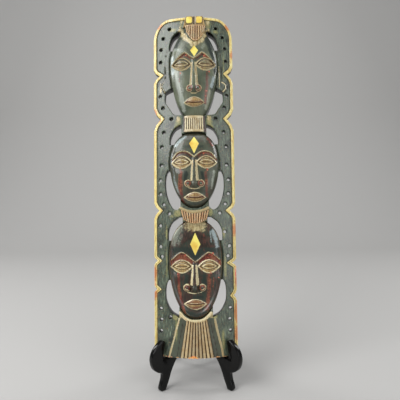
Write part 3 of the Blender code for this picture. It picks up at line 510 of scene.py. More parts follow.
def surface(u, v, rimGap, cutGap):
    # height of the carved front, and its paint, at points of the board
    paint = {name: np.full(u.shape, 9.0) for name in ("cream", "yellow")}
    blank = ("face", "tone", "tan", "red", "spot", "dark", "sheen", "sheenBlue", "shade")
    paint.update({name: np.zeros(u.shape) for name in blank})
    paint["line"] = np.full(u.shape, 0.75)
    paint["gold"] = rimGap - board["rimWidth"]
    height = boardFront(u)
    height = height - board["fieldDrop"] * smoothStep(board["rimWidth"] - 0.3, board["rimWidth"] + 0.6, rimGap)
    rimLine = ridge(rimGap - board["rimWidth"] - 0.2, 0.55)
    lowSides = 0.3 + 0.7 * smoothStep(190.0, 130.0, v)
    stripe = lowSides * ridge(rimGap - 2.3, 0.5) * (rimGap < 4.0)
    height = height - board["rimGroove"] * rimLine - 0.5 * stripe
    paint["dark"] = np.maximum(0.85 * rimLine, 0.8 * stripe)

    for mask in masks.values():
        inside, carved = carveMask(mask, u, v, paint)
        gap = np.abs(u - mask["centre"]) - headHalf(mask, v)
        beside = (~inside) & (v > mask["bottom"]) & (v < mask["top"])
        foot = ridge(gap - 0.3, 1.1)
        height = np.where(beside, height - 1.6 * foot, height)
        height = np.where(inside, carved, height)
        paint["dark"] = np.where(beside, np.maximum(paint["dark"], 0.55 * foot), paint["dark"])

    # Crest block with two yellow squares and a groove between
    crestHalf = np.interp(v, (482.0, 499.0), (17.8, 14.0))
    crestEdge = np.maximum(np.abs(u - 2.9) - crestHalf, 481.5 - v)
    middle = ridge(u - 2.7, 1.2)
    crest = 27.6 - 2.2 * np.clip((490.0 - v) / 10.0, 0.0, 1.0) - 1.6 * middle
    across, up = np.abs(np.abs(u - 2.7) - 7.4) - 1.8, np.abs(v - 492.6) - 2.4
    squares = np.hypot(np.maximum(across, 0.0), np.maximum(up, 0.0)) + np.minimum(np.maximum(across, up), 0.0) - 2.5
    crest = crest + 0.8 * smoothStep(0.6, -1.0, squares)
    crest = np.minimum(crest, 27.8 - 3.0 * np.clip(crestEdge + 2.0, 0.0, 9.0))
    isCrest = (crestEdge < 1.0) & (crest > height)
    height = np.where(isCrest, crest, height)
    for name, value in (("face", 0.75), ("tone", 0.15), ("gold", 9.0), ("cream", 9.0), ("line", 0.6)):
        paint[name] = np.where(isCrest, value, paint[name])
    paint["yellow"] = np.where(isCrest, squares, paint["yellow"])
    paint["dark"] = np.where(isCrest, np.maximum(middle, 0.6 * ridge(squares - 0.9, 0.5)), paint["dark"])
    paint["tan"] = np.where(isCrest, 0.5 + 0.3 * ridge(crestEdge + 2.4, 1.2), paint["tan"])
    # a painted highlight beside the middle groove, on the upper part of the crest
    paint["sheen"] = np.where(isCrest, 0.8 * ridge(np.abs(u - 2.7) - 2.6, 0.5) * (v > 485.0), paint["sheen"])

    # Dark bands between the beard and the slanted lines
    slantLeft, slantRight = -38.4 + 15.2 * v / 54.0, 38.8 - 11.2 * v / 53.0
    band = smoothStep(0.6, -0.6, np.maximum(np.maximum(slantLeft - u, u - slantRight), v - 53.0 - 0.01 * u * u))
    band = band * (paint["face"] < 0.5)
    paint["face"] = np.maximum(paint["face"], 0.8 * band)
    paint["tone"] = np.where(band > 0.0, 0.5, paint["tone"])

    onFace = paint["face"] > 0.9
    for points, halfLine, tanShare in trim["creamBands"]:
        line = pathDistance(u, v, smoothPath(points, 6))
        height = np.where(onFace, height, height + 0.9 * ridge(line, halfLine))
        paint["line"] = np.where((~onFace) & (line < 4.0), 1.0 - tanShare, paint["line"])
        paint["cream"] = np.where(onFace, paint["cream"], np.minimum(paint["cream"], line - halfLine))
    for points in trim["grooves"]:
        line = ridge(pathDistance(u, v, smoothPath(points, 6)), 0.55)
        height = np.where(onFace, height, height - 0.8 * line)
        paint["dark"] = np.where(onFace, paint["dark"], np.maximum(paint["dark"], 0.9 * line))
    vee = pathDistance(u, v, ((-18.5, 480.0), (-9.5, 463.0), (1.8, 453.0), (13.0, 461.0), (21.5, 477.0)))
    height = height + 0.8 * ridge(vee, 2.6)
    paint["beige"] = np.maximum(ridge(vee, 4.4), blobs(u, v, trim["beige"]))
    paint["olive"] = np.where(onFace, 0.0, blobs(u, v, trim["olive"]))
    paint["chip"] = blobs(u, v, trim["chips"])
    paint["warm"] = blobs(u, v, trim["warmRim"])
    height = height - 0.7 * (v < 4.0) * ridge(v, 1.6) * paint["chip"]
    height = height - board["edgeRound"] * (1.0 - np.sqrt(np.clip(
        1.0 - (1.0 - np.clip(cutGap / board["edgeRound"], 0.0, 1.0)) ** 2, 0.0, 1.0)))
    return height, paint


def rimDistance(u, v):
    # distance to the painted edge: sides and top only, with pointed corners behind the notches
    gap = pathDistance(u, v, outlineLoop())
    for side, places in notches.items():
        for height, depth, half in places:
            px, py = side * u - (halfWidth - depth), v - height
            length = math.hypot(0.65 * depth, 0.45 * half)
            dx, dy = 0.65 * depth / length, 0.45 * half / length
            behind = (px * dx + py * dy < 0.0) & (px * dx - py * dy < 0.0) & (np.hypot(px, py) < 12.0)
            gap = np.where(behind, np.maximum(-px * dy + py * dx, -px * dy - py * dx), gap)
    return gap


def fillPoints(outline, cuts):
    # three nested triangular lattices: fine on the carving, coarser on the plain frame
    step = board["fineStep"]
    rows = int(board["height"] / (step * 0.866)) + 2
    columns = int(board["width"] / step) + 2
    row, column = np.meshgrid(np.arange(rows), np.arange(columns), indexing="ij")
    u = (column - columns / 2.0 + 0.5 * (row % 2)) * step
    v = row * step * 0.866
    level = np.where((row % 4 == 0) & (column % 4 == 0), 2, np.where((row % 2 == 0) & (column % 2 == 0), 1, 0))
    u, v, level = u.ravel(), v.ravel(), level.ravel()
    keep = insideLoop(u, v, outline)
    u, v, level = u[keep], v[keep], level[keep]
    rimGap = pathDistance(u, v, outline, closed=True)
    cutGap = np.full(u.shape, 1e9)
    for loop in cuts:
        near = (np.abs(u - loop[:, 0].mean()) < 40.0) & (np.abs(v - loop[:, 1].mean()) < 60.0)
        gap = pathDistance(u[near], v[near], loop, closed=True)
        gap[insideLoop(u[near], v[near], loop)] = -1.0
        cutGap[near] = np.minimum(cutGap[near], gap)
    need = np.full(u.shape, 1)
    for mask in masks.values():
        inHead = (np.abs(u - mask["centre"]) < headHalf(mask, v) + 2.5) & (v > mask["bottom"] - 2.0)
        need[inHead & (v < mask["top"] + 2.0)] = 0
    need[np.abs(rimGap - board["rimWidth"]) < 1.3] = 0
    need[(rimGap < 1.6) | (cutGap < 1.6) | ((rimGap < 3.6) & (v < 190.0))] = 0
    need[(v > 479.0) & (np.abs(u - 2.9) < 20.0)] = 0
    keep = (level >= need) & (cutGap > 0.35) & (rimGap > 0.35)
    return u[keep], v[keep]


def buildPlaque():
    rng = np.random.default_rng(board["seed"])
    outline = evenly(outlineLoop(), 1.0)
    cuts = [evenly(loop, 0.9) for loop in openingLoops()] + holeLoops()
    u, v = fillPoints(outline, cuts)
    u = u + rng.uniform(-0.05, 0.05, u.shape)
    v = v + rng.uniform(-0.05, 0.05, v.shape)
    loops = [outline] + cuts
    ringPoints = np.concatenate(loops)
    edges, start = [], 0
    for loop in loops:
        edges += [(start + i, start + (i + 1) % len(loop)) for i in range(len(loop))]
        start += len(loop)
    flat = np.concatenate([ringPoints, np.stack([u, v], axis=1)])

    def cover(points):
        result = delaunay_2d_cdt([Vector(p) for p in points], edges, [], 0, 1e-5)
        placed = np.array([tuple(p) for p in result[0]])
        faces = np.array([f for f in result[2] if len(f) == 3])
        middle = placed[faces].mean(axis=1)
        keep = insideLoop(middle[:, 0], middle[:, 1], outline)
        for loop in cuts:
            near = np.abs(middle - loop.mean(axis=0)).max(axis=1) < 60.0
            near[near] = insideLoop(middle[near, 0], middle[near, 1], loop)
            keep &= ~near
        return placed, faces[keep]

    front, frontFaces = cover(flat)
    rimGap = rimDistance(front[:, 0], front[:, 1])
    cutGap = pathDistance(front[:, 0], front[:, 1], outline, closed=True)
    for loop in cuts:
        near = np.abs(front - loop.mean(axis=0)).max(axis=1) < 60.0
        cutGap[near] = np.minimum(cutGap[near], pathDistance(front[near, 0], front[near, 1], loop, closed=True))
    height, paint = surface(front[:, 0], front[:, 1], rimGap, cutGap)
    back, backFaces = cover(ringPoints)
    print("plaque front:", len(front), "points,", len(frontFaces), "triangles")

    ringCount = len(ringPoints)
    points = np.concatenate([
        np.column_stack([front, height]),
        np.column_stack([back, np.zeros(len(back))]),
    ])
    walls = []
    shift = len(front)
    for a, b in edges:
        walls += [(a, shift + a, shift + b), (a, shift + b, b)]
    faces = np.concatenate([frontFaces, backFaces[:, ::-1] + shift, np.array(walls)])
    zone = np.concatenate([np.zeros(len(front)), np.ones(len(back))])
    mesh = bpy.data.meshes.new("plaqueCarving")
    mesh.from_pydata(toWorld(points).tolist(), [], faces.tolist())
    for name, values in paint.items():
        field = mesh.attributes.new(name, "FLOAT", "POINT")
        rest = 9.0 if name in ("cream", "yellow", "gold") else 0.0
        field.data.foreach_set("value", np.concatenate([values, np.full(len(back), rest)]))
    # 0 on the front, 1 on the back; the walls run between, and the shader turns them near-black from it as painted
    # shade
    field = mesh.attributes.new("back", "FLOAT", "POINT")
    field.data.foreach_set("value", zone)
    mesh.update()
    body = bmesh.new()
    body.from_mesh(mesh)
    bmesh.ops.recalc_face_normals(body, faces=body.faces)
    body.to_mesh(mesh)
    body.free()
    mesh.shade_smooth()
    mesh.set_sharp_from_angle(angle=math.radians(42.0))
    piece = bpy.data.objects.new("plaqueCarving", mesh)
    bpy.context.scene.collection.objects.link(piece)
    print("plaque:", len(faces), "triangles, rings", ringCount)
    return piece


def linear(hexColour):
    # sRGB hex to the linear values that the shader takes
    parts = [int(hexColour[i:i + 2], 16) / 255.0 for i in (1, 3, 5)]
    return tuple(c / 12.92 if c <= 0.04045 else ((c + 0.055) / 1.055) ** 2.4 for c in parts) + (1.0,)


# short words for the nodes that come up most: type, settings, where the inputs go, and the output given
sums = {"add": "ADD", "subtract": "SUBTRACT", "multiply": "MULTIPLY", "divide": "DIVIDE", "power": "POWER",
        "multiplyAdd": "MULTIPLY_ADD", "absolute": "ABSOLUTE", "sine": "SINE", "floor": "FLOOR",
        "minimum": "MINIMUM", "maximum": "MAXIMUM", "lessThan": "LESS_THAN", "greaterThan": "GREATER_THAN"}
nodeWords = {word: ("ShaderNodeMath", {"operation": name}, (0, 1, 2), 0) for word, name in sums.items()}
nodeWords["blend"] = ("ShaderNodeMix", {"data_type": "RGBA"}, (6, 7, 0), 2)
nodeWords["ramp"] = ("ShaderNodeMapRange", {"interpolation_type": "SMOOTHSTEP"}, (0, 1, 2), 0)


def addNode(tree, kind, *given):
    # one node with its settings and links; a short word takes its inputs in order and gives its output
    settings, links = (given + ({}, {}))[:2]
    output = None
    if kind in nodeWords:
        kind, settings, sockets, output = nodeWords[kind]
        links = dict(zip(sockets, given))
    node = tree.nodes.new(kind)
    for name, value in settings.items():
        setattr(node, name, value)
    for socket, value in links.items():
        if isinstance(value, bpy.types.NodeSocket):
            tree.links.new(value, node.inputs[socket])
        else:
            isColour = isinstance(value, str) and value.startswith("#")
            node.inputs[socket].default_value = linear(value) if isColour else value
    return node if output is None else node.outputs[output]


def readFields(tree, names):
    # the paint fields that the carving left on the mesh
    return {name: addNode(tree, "ShaderNodeAttribute", {"attribute_name": name}).outputs["Fac"] for name in names}


def newMaterial(name):
    material = bpy.data.materials.new(name)
    material.use_nodes = True
    material.node_tree.nodes.clear()
    return material, material.node_tree


def finishPaintedWood():
    # carved softwood, painted by hand and varnished: brush streaks, thin cream and gold lines, rubbed and chipped
    material, tree = newMaterial("brushedPaintOnCarvedWood")
    add = partial(addNode, tree)
    place = add("ShaderNodeTexCoord").outputs["Object"]
    lengthwise = add("ShaderNodeMapping", {}, {"Vector": place, "Scale": (520.0, 520.0, 55.0)}).outputs[0]
    brush = add("ShaderNodeTexNoise", {}, {"Vector": lengthwise, "Scale": 1.0, "Detail": 4.0}).outputs[0]
    cloud = add("ShaderNodeTexNoise", {}, {"Vector": place, "Scale": 52.0, "Detail": 3.0}).outputs[0]
    grit = add("ShaderNodeTexNoise", {}, {"Vector": place, "Scale": 480.0, "Detail": 3.0}).outputs[0]
    fields = readFields(tree, ("cream", "yellow", "gold", "face", "tone", "line", "tan", "red", "spot", "dark",
                               "beige", "olive", "chip", "warm", "back", "sheen", "sheenBlue", "shade"))
    centred = {"grit": add("subtract", grit, 0.5), "cloud": add("subtract", cloud, 0.5)}

    def patchy(name, low, high, amount):
        # a soft field broken up by noise, as a nearly dry brush leaves it
        share = add("multiply", amount, add("ramp", fields[name], 0.0, 0.3))
        broken = add("multiplyAdd", centred["grit"], share, fields[name])
        return add("ramp", add("multiplyAdd", centred["cloud"], share, broken), low, high)

    def line(name, wobble, soft):
        # the inside of a painted line, its edge unsteady
        edge = add("multiplyAdd", centred["cloud"], wobble, fields[name])
        return add("ramp", add("multiplyAdd", centred["grit"], wobble, edge), soft, -soft)

    def paints(first, second, noise, low, high):
        # two paints that run into each other
        return add("blend", first, second, add("ramp", noise, low, high))

    def both(*shares):
        # a share narrowed by another: (noise, low, high) for each
        first, second = (add("ramp", *share) for share in shares)
        return add("multiply", first, second)

    # Greens of the frame, then the greyer and the browner heads
    green = paints("#39433a", "#5f6b59", brush, 0.35, 0.7)
    green = paints(green, "#262d27", cloud, 0.48, 0.72)
    green = add("blend", green, "#8c9a80", both((brush, 0.56, 0.78), (cloud, 0.6, 0.38)))
    green = add("blend", green, "#6b654a", both((grit, 0.5, 0.66), (brush, 0.6, 0.4)))
    grey = paints("#46503f", "#69705b", cloud, 0.3, 0.7)
    grey = add("blend", grey, "#5c5646", add("multiply", add("ramp", brush, 0.48, 0.72), 0.6))
    deep = paints("#2b231b", "#2f3a2f", cloud, 0.42, 0.58)
    brown = add("multiply", add("ramp", brush, 0.42, 0.68), add("multiply", fields["tone"], 0.8))
    deep = add("blend", deep, "#50342a", brown)
    colour = add("blend", green, add("blend", grey, deep, fields["tone"]), fields["face"])

    # Painted shade and painted highlights, some blue-white, on the facets, then the patches of colour, each over the
    # one before
    colour = add("blend", colour, add("blend", "#1d2822", "#2b342b", grit), patchy("shade", 0.25, 0.8, 0.7))
    # the colour of the painted highlights, bluer where the highlight is a cool reflection
    paintedHighlight = add("blend", paints("#a5a891", "#86826c", brush, 0.4, 0.65), "#a9b9bb", fields["sheenBlue"])
    colour = add("blend", colour, paintedHighlight, add("multiply", patchy("sheen", 0.2, 0.9, 0.9), 0.8))
    redPaint = paints("#5a231b", "#83402f", brush, 0.4, 0.66)
    redPaint = add("blend", redPaint, "#86543a", both((cloud, 0.45, 0.6), (grit, 0.4, 0.6)))
    patches = (
        (paints("#a39a68", "#757a50", grit, 0.4, 0.6), patchy("olive", 0.4, 0.9, 1.2)),
        (redPaint, patchy("red", 0.22, 0.8, 1.2)),
        (paints("#b59b66", "#8a6c43", brush, 0.35, 0.7), patchy("tan", 0.25, 0.7, 0.35)),
        (paints("#cbbd90", "#9c8a5f", brush, 0.35, 0.65), patchy("beige", 0.3, 0.8, 1.1)),
    )
    for paint, share in patches:
        colour = add("blend", colour, paint, share)

    # Thin lines, spots and gold
    cream = paints(add("blend", "#9d8f66", "#e6dbb0", fields["line"]), "#ad8a57", brush, 0.5, 0.8)
    cream = add("blend", cream, "#bf8148", add("multiply", add("ramp", grit, 0.54, 0.66), 0.5))
    gold = paints("#f5e69b", "#dcbb62", brush, 0.35, 0.7)
    gold = add("blend", gold, "#d58a52", patchy("warm", 0.35, 0.85, 0.9))
    gold = add("blend", gold, "#9a6a35", add("multiply", add("ramp", grit, 0.58, 0.68), 0.4))
    chipped = paints(paints("#e2766a", "#e99a48", cloud, 0.42, 0.55), "#e6cc92", grit, 0.5, 0.6)
    marks = (
        (cream, line("cream", 1.3, 0.4)),
        (paints("#9c3b29", "#d2765a", grit, 0.42, 0.62), patchy("spot", 0.4, 0.95, 2.4)),
        (paints("#f6e878", "#e2b448", cloud, 0.42, 0.75), line("yellow", 0.5, 0.25)),
        (gold, line("gold", 0.7, 0.2)),
        ("#2a1a10", add("multiply", fields["dark"], 0.9)),
        (chipped, patchy("chip", 0.4, 0.65, 0.8)),
        # near-black on the walls between front and back, in the openings, holes and round the edge: painted shade
        (add("blend", "#12110f", "#1f1b17", grit), add("ramp", fields["back"], 0.01, 0.1)),
        (add("blend", "#4b382a", "#33261c", brush), add("ramp", fields["back"], 0.96, 1.0)),
    )
    for paint, share in marks:
        colour = add("blend", colour, paint, share)

    rough = add("ShaderNodeMapRange", {}, {0: brush, 1: 0.25, 2: 0.75, 3: 0.27, 4: 0.46})
    streak = add("ShaderNodeBump", {}, {"Height": brush, "Strength": 0.3, "Distance": 0.0003})
    fine = add("ShaderNodeBump", {}, {"Height": grit, "Strength": 0.2, "Distance": 0.0002,
                                      "Normal": streak.outputs[0]})
    shader = add("ShaderNodeBsdfPrincipled", {}, {
        "Base Color": colour, "Roughness": rough.outputs[0], "Normal": fine.outputs[0],
        "IOR": 1.46, "Coat Weight": 0.38, "Coat Roughness": 0.16})
    add("ShaderNodeOutputMaterial", {}, {0: shader.outputs[0]})
    return material


def finishRibs():
    # the same paint, dry-brushed: pale on the crests of the ribs, brown left in the grooves
    material, tree = newMaterial("dryBrushedRibs")
    add = partial(addNode, tree)
    place = add("ShaderNodeTexCoord").outputs["Object"]
    cloud = add("ShaderNodeTexNoise", {}, {"Vector": place, "Scale": 150.0, "Detail": 3.0}).outputs[0]
    grit = add("ShaderNodeTexNoise", {}, {"Vector": place, "Scale": 620.0, "Detail": 3.0}).outputs[0]
    fields = readFields(tree, ("rib", "tint", "warm", "pale", "chip"))
    tan = add("blend", "#bda372", "#8d7348", add("ramp", fields["tint"], 0.2, 0.9))
    cream = add("blend", "#ddd3ae", "#b9a980", add("ramp", cloud, 0.4, 0.7))
    orange = add("blend", "#d39b66", "#b57648", add("ramp", fields["tint"], 0.3, 0.9))
    warmth = add("multiply", fields["warm"], add("ramp", cloud, 0.3, 0.5))
    crest = add("blend", add("blend", tan, cream, fields["pale"]), orange, warmth)
    onCrest = add("ramp", add("multiplyAdd", grit, 0.4, fields["rib"]), 0.68, 0.98)
    colour = add("blend", add("blend", "#2f2016", "#4d3222", cloud), crest, onCrest)
    rubbed = add("blend", "#e0563f", "#f0a44c", add("ramp", cloud, 0.4, 0.56))
    rubbed = add("blend", rubbed, "#e8cd95", add("ramp", grit, 0.52, 0.62))
    broken = add("multiplyAdd", add("subtract", grit, 0.5), 0.9, fields["chip"])
    colour = add("blend", colour, rubbed, add("ramp", broken, 0.4, 0.6))
    bump = add("ShaderNodeBump", {}, {"Height": grit, "Strength": 0.3, "Distance": 0.0003})
    shader = add("ShaderNodeBsdfPrincipled", {}, {
        "Base Color": colour, "Roughness": 0.42, "Normal": bump.outputs[0], "IOR": 1.48,
        "Coat Weight": 0.4, "Coat Roughness": 0.2})
    add("ShaderNodeOutputMaterial", {}, {0: shader.outputs[0]})
    return material


def ribTree():
    # a closed block whose front is ribs that fan out: x across, y up, z out
    tree = bpy.data.node_groups.new("fannedRibs", "GeometryNodeTree")
    tree.is_modifier = True
    sizes = {"Centre": 0.0, "Bottom": 0.0, "Top": 1.0, "Half Bottom": 1.0, "Half Top": 1.0, "Taper": 1.0,
             "Crown": 1.0, "Bow": 0.0, "Arc Top": 0.0, "Arc Bottom": 0.0, "Band": 0.0, "Depth": 1.0, "Flank": 1.0,
             "Root": 4.0, "Warm": 0.0, "Pale": 0.0, "Chipped": 0.0, "Chip At": 0.0, "Ribs": 9, "Seed": 1}
    for name, value in sizes.items():
        kind = "NodeSocketInt" if isinstance(value, int) else "NodeSocketFloat"
        socket = tree.interface.new_socket(name, in_out="INPUT", socket_type=kind)
        socket.default_value = value
    tree.interface.new_socket("Finish", in_out="INPUT", socket_type="NodeSocketMaterial")
    tree.interface.new_socket("Geometry", in_out="OUTPUT", socket_type="NodeSocketGeometry")
    add = partial(addNode, tree)
    given = add("NodeGroupInput").outputs

    columns = add("multiplyAdd", given["Ribs"], 10.0, 1.0)
    block = add("GeometryNodeMeshCube", {}, {"Vertices X": columns, "Vertices Y": 25, "Vertices Z": 2})
    spot = add("ShaderNodeSeparateXYZ", {}, {0: add("GeometryNodeInputPosition").outputs[0]})
    s = add("multiply", spot.outputs[0], 2.0)
    t = add("add", spot.outputs[1], 0.5)
    isFront = add("greaterThan", spot.outputs[2], 0.0)
    grow = add("power", t, given["Taper"])
    spread = add("subtract", given["Half Top"], given["Half Bottom"])
    half = add("multiplyAdd", spread, grow, given["Half Bottom"])
    u = add("multiplyAdd", s, half, given["Centre"])
    square = add("multiply", s, s)
    arcSpan = add("subtract", given["Arc Top"], given["Arc Bottom"])
    arc = add("multiply", add("multiplyAdd", arcSpan, t, given["Arc Bottom"]), square)
    rise = add("subtract", given["Top"], given["Bottom"])
    v = add("add", add("multiplyAdd", rise, t, given["Bottom"]), arc)
    inner = add("divide", s, given["Flank"])
    phase = add("multiply", add("multiplyAdd", inner, 0.5, 0.5), given["Ribs"])
    wave = add("absolute", add("sine", add("multiply", phase, math.pi)))
    round = add("power", wave, 0.6)
    beyond = add("greaterThan", add("absolute", inner), 1.0)
    round = add("multiply", round, add("subtract", 1.0, beyond))
    fromEnd = add("minimum", t, add("subtract", 1.0, t))
    inBand = add("lessThan", fromEnd, given["Band"])
    inBand = add("multiply", inBand, add("subtract", 1.0, beyond))
    rib = add("maximum", round, inBand)
    deep = add("multiply", given["Depth"], add("subtract", 1.0, rib))
    bow = add("multiply", given["Bow"], square)
    front = add("subtract", add("subtract", given["Crown"], bow), deep)
    w = add("multiplyAdd", add("subtract", front, given["Root"]), isFront, given["Root"])
    place = add("ShaderNodeCombineXYZ", {}, {0: u, 1: v, 2: w})
    tint = add("FunctionNodeRandomValue", {"data_type": "FLOAT"},
                   {"ID": add("floor", phase), "Seed": given["Seed"]}).outputs[1]
    fromChip = add("absolute", add("subtract", s, given["Chip At"]))
    chip = add("subtract", 1.0, add("multiplyAdd", fromChip, 2.0, add("multiply", t, 9.0)))
    chip = add("multiply", add("maximum", chip, 0.0), add("multiply", given["Chipped"], 1.8))
    kept = block
    for name, value in (("rib", add("multiply", rib, isFront)), ("tint", tint), ("warm", given["Warm"]),
                        ("pale", given["Pale"]), ("chip", chip)):
        kept = add("GeometryNodeStoreNamedAttribute", {"data_type": "FLOAT", "domain": "POINT"},
                       {"Geometry": kept.outputs[0], "Name": name, "Value": value})
    moved = add("GeometryNodeSetPosition", {}, {"Geometry": kept.outputs[0], "Position": place.outputs[0]})
    real = add("GeometryNodeRealizeInstances", {}, {0: moved.outputs[0]})
    coated = add("GeometryNodeSetMaterial", {}, {"Geometry": real.outputs[0], "Material": given["Finish"]})
    add("NodeGroupOutput", {}, {0: coated.outputs[0]})
    return tree


def buildRibbed(name, tree, finish):
    sizes = ribbed[name]
    holder = bpy.data.objects.new(name + "Maker", bpy.data.meshes.new(name + "Maker"))
    bpy.context.scene.collection.objects.link(holder)
    modifier = holder.modifiers.new("ribs", "NODES")
    modifier.node_group = tree
    words = {"centre": "Centre", "bottom": "Bottom", "top": "Top", "halfBottom": "Half Bottom",
             "halfTop": "Half Top", "taper": "Taper", "crown": "Crown", "bow": "Bow", "arcTop": "Arc Top",
             "arcBottom": "Arc Bottom", "band": "Band", "depth": "Depth", "flank": "Flank", "ribs": "Ribs",
             "warm": "Warm", "pale": "Pale", "chipped": "Chipped", "chipAt": "Chip At", "seed": "Seed"}
    sockets = {item.name: item.identifier for item in tree.interface.items_tree if item.in_out == "INPUT"}
    for word, socket in words.items():
        modifier[sockets[socket]] = sizes.get(word, 0.0)
    modifier[sockets["Root"]] = 6.5
    modifier[sockets["Finish"]] = finish
    graph = bpy.context.evaluated_depsgraph_get()
    mesh = bpy.data.meshes.new_from_object(holder.evaluated_get(graph))
    bpy.data.objects.remove(holder)
    flat = np.empty(len(mesh.vertices) * 3)
    mesh.vertices.foreach_get("co", flat)
    mesh.vertices.foreach_set("co", toWorld(flat.reshape(-1, 3)).ravel())
    mesh.shade_smooth()
    mesh.set_sharp_from_angle(angle=math.radians(50.0))
    mesh.name = name
    piece = bpy.data.objects.new(name, mesh)
    bpy.context.scene.collection.objects.link(piece)
    return piece


stand = {
    "thickness": 8.0,
    "rounding": 1.5,
    "halfSpread": 63.5,     # from the middle to where each panel's line starts
    "front": 31.0,          # how far the hooks reach before the plaque's back bottom edge
    "ledge": 45.0,
    "fitGap": 0.3,
    "hookGap": 0.6,
    "hookTop": 73.0,
    "top": 140.0,
    "crossing": 89.8,
    "lapHeight": 86.0,
    "slotGap": 0.3,
    "toe": ((16.5, 0.0), (15.0, 3.5), (16.5, 9.0), (19.2, 16.0), (20.0, 23.5), (17.8, 26.8), (12.0, 29.2),
            (5.3, 35.0), (1.7, 44.0), (1.4, 53.0), (4.9, 61.2), (11.5, 68.0)),
    "rear": ((98.0, 118.0), (108.0, 94.0), (122.0, 66.0), (140.0, 38.0), (155.6, 16.0), (164.2, 3.6),
             (164.2, 0.0)),
    "arch": ((153.0, 0.0), (147.0, 7.8), (132.0, 28.0), (114.0, 43.0), (94.0, 51.0), (74.0, 52.0),
             (58.0, 48.0), (45.0, 38.0), (36.0, 24.5), (31.0, 13.0), (24.5, 0.0)),
}


def panelProfile():
    # outline of one stand panel in its own plane: the plaque stands on the ledge, held by the hook
    slope, turn, half = math.tan(board["lean"]), math.sqrt(0.5), stand["thickness"] / 2.0
    gap = stand["fitGap"] / math.cos(board["lean"])

    def restAt(height):
        return ((height - stand["ledge"]) * slope + stand["front"] + gap) / turn + half

    def ledgeAt(along):
        return stand["ledge"] - (turn * (along + half) - stand["front"]) * slope - gap

    def hookAt(height):
        along = restAt(height)
        for _ in range(12):
            outside = stand["halfSpread"] - turn * (along - half)
            face = (height - stand["ledge"]) * slope - boardFront(outside) / math.cos(board["lean"])
            along = (face - stand["hookGap"] + stand["front"]) / turn - half
        return along

    hookTop, top = stand["hookTop"], restAt(stand["top"])
    foot, tipAt = hookAt(stand["ledge"]), hookAt(hookTop)
    corner = restAt(ledgeAt(restAt(stand["ledge"])))
    hook = [stand["toe"][0]] + smoothPath(stand["toe"][1:] + ((tipAt - 6.0, hookTop),), 4).tolist()
    hook += [(tipAt - 1.5, hookTop - 1.2), (hookAt(hookTop - 5.0), hookTop - 5.0)]
    hook += [(foot, stand["ledge"] + 7.0), (foot, ledgeAt(foot)), (corner, ledgeAt(corner))]
    hook += [(restAt(stand["top"] - 12.0), stand["top"] - 12.0)]
    crown = ((top + 2.5, stand["top"] - 3.0), (top + 9.0, stand["top"]), (top + 16.0, stand["top"] - 6.0))
    rear = smoothPath(crown + stand["rear"][:-1], 4).tolist() + [stand["rear"][-1]]
    return hook + rear + smoothPath(stand["arch"], 4).tolist()


def buildPanel(name, side, slotLow, slotHigh):
    # one panel sawn from board, its edges rounded over, slotted to cross the other
    half = stand["thickness"] / 2.0
    body = bmesh.new()
    outline = panelProfile()
    rows = [[body.verts.new((s, z, t)) for s, z in outline] for t in (-half, half)]
    body.faces.new(rows[0])
    body.faces.new(rows[1][::-1])
    for i in range(len(outline)):
        after = (i + 1) % len(outline)
        body.faces.new((rows[0][after], rows[0][i], rows[1][i], rows[1][after]))
    bmesh.ops.recalc_face_normals(body, faces=body.faces)
    mesh = bpy.data.meshes.new(name)
    body.to_mesh(mesh)
    body.free()
    panel = bpy.data.objects.new(name, mesh)
    body = bmesh.new()
    bmesh.ops.create_cube(body, size=1.0)
    width = stand["thickness"] + 2.0 * stand["slotGap"]
    bmesh.ops.scale(body, verts=body.verts, vec=(width, slotHigh - slotLow, 3.0 * width))
    bmesh.ops.translate(body, verts=body.verts, vec=(stand["crossing"], (slotLow + slotHigh) / 2.0, 0.0))
    slotMesh = bpy.data.meshes.new(name + "Slot")
    body.to_mesh(slotMesh)
    body.free()
    slot = bpy.data.objects.new(name + "Slot", slotMesh)
    for made in (panel, slot):
        bpy.context.scene.collection.objects.link(made)
    cut = panel.modifiers.new("slot", "BOOLEAN")
    cut.object = slot
    cut.operation = "DIFFERENCE"
    cut.solver = "EXACT"
    rounded = panel.modifiers.new("roundedEdges", "BEVEL")
    rounded.width = stand["rounding"]
    rounded.segments = 3
    rounded.limit_method = "ANGLE"
    rounded.angle_limit = math.radians(55.0)
    rounded.use_clamp_overlap = False
    graph = bpy.context.evaluated_depsgraph_get()
    solid = bpy.data.meshes.new_from_object(panel.evaluated_get(graph))
    panel.modifiers.clear()
    bpy.data.objects.remove(slot)
    backEdge = toWorld(np.zeros((1, 3)))[0][1]
    along = Vector((-side, 1.0, 0.0)).normalized()
    up = Vector((0.0, 0.0, 1.0))
    place = Matrix((along, up, along.cross(up))).transposed().to_4x4()
    place.translation = Vector((side * stand["halfSpread"], 1000.0 * backEdge - stand["front"], 0.0))
    solid.transform(Matrix.Scale(0.001, 4) @ place)
    solid.shade_smooth()
    solid.set_sharp_from_angle(angle=math.radians(38.0))
    panel.data = solid
    return panel


def standFinish():
    # black lacquer on turned wood: deep gloss with faint dust and soft rounded highlights
    material, tree = newMaterial("blackLacquer")
    add = partial(addNode, tree)
    place = add("ShaderNodeTexCoord").outputs["Object"]
    dust = add("ShaderNodeTexNoise", {}, {"Vector": place, "Scale": 160.0, "Detail": 5.0})
    rough = add("ShaderNodeMapRange", {}, {0: dust.outputs[0], 1: 0.3, 2: 0.8, 3: 0.12, 4: 0.26})
    black = add("blend", "#040404", "#0b0b0a", dust.outputs[0])
    shader = add("ShaderNodeBsdfPrincipled", {}, {
        "Base Color": black, "Roughness": rough.outputs[0], "IOR": 1.36, "Specular IOR Level": 0.25,
        "Coat Weight": 0.3, "Coat IOR": 1.42, "Coat Roughness": 0.04})
    add("ShaderNodeOutputMaterial", {}, {0: shader.outputs[0]})
    return material


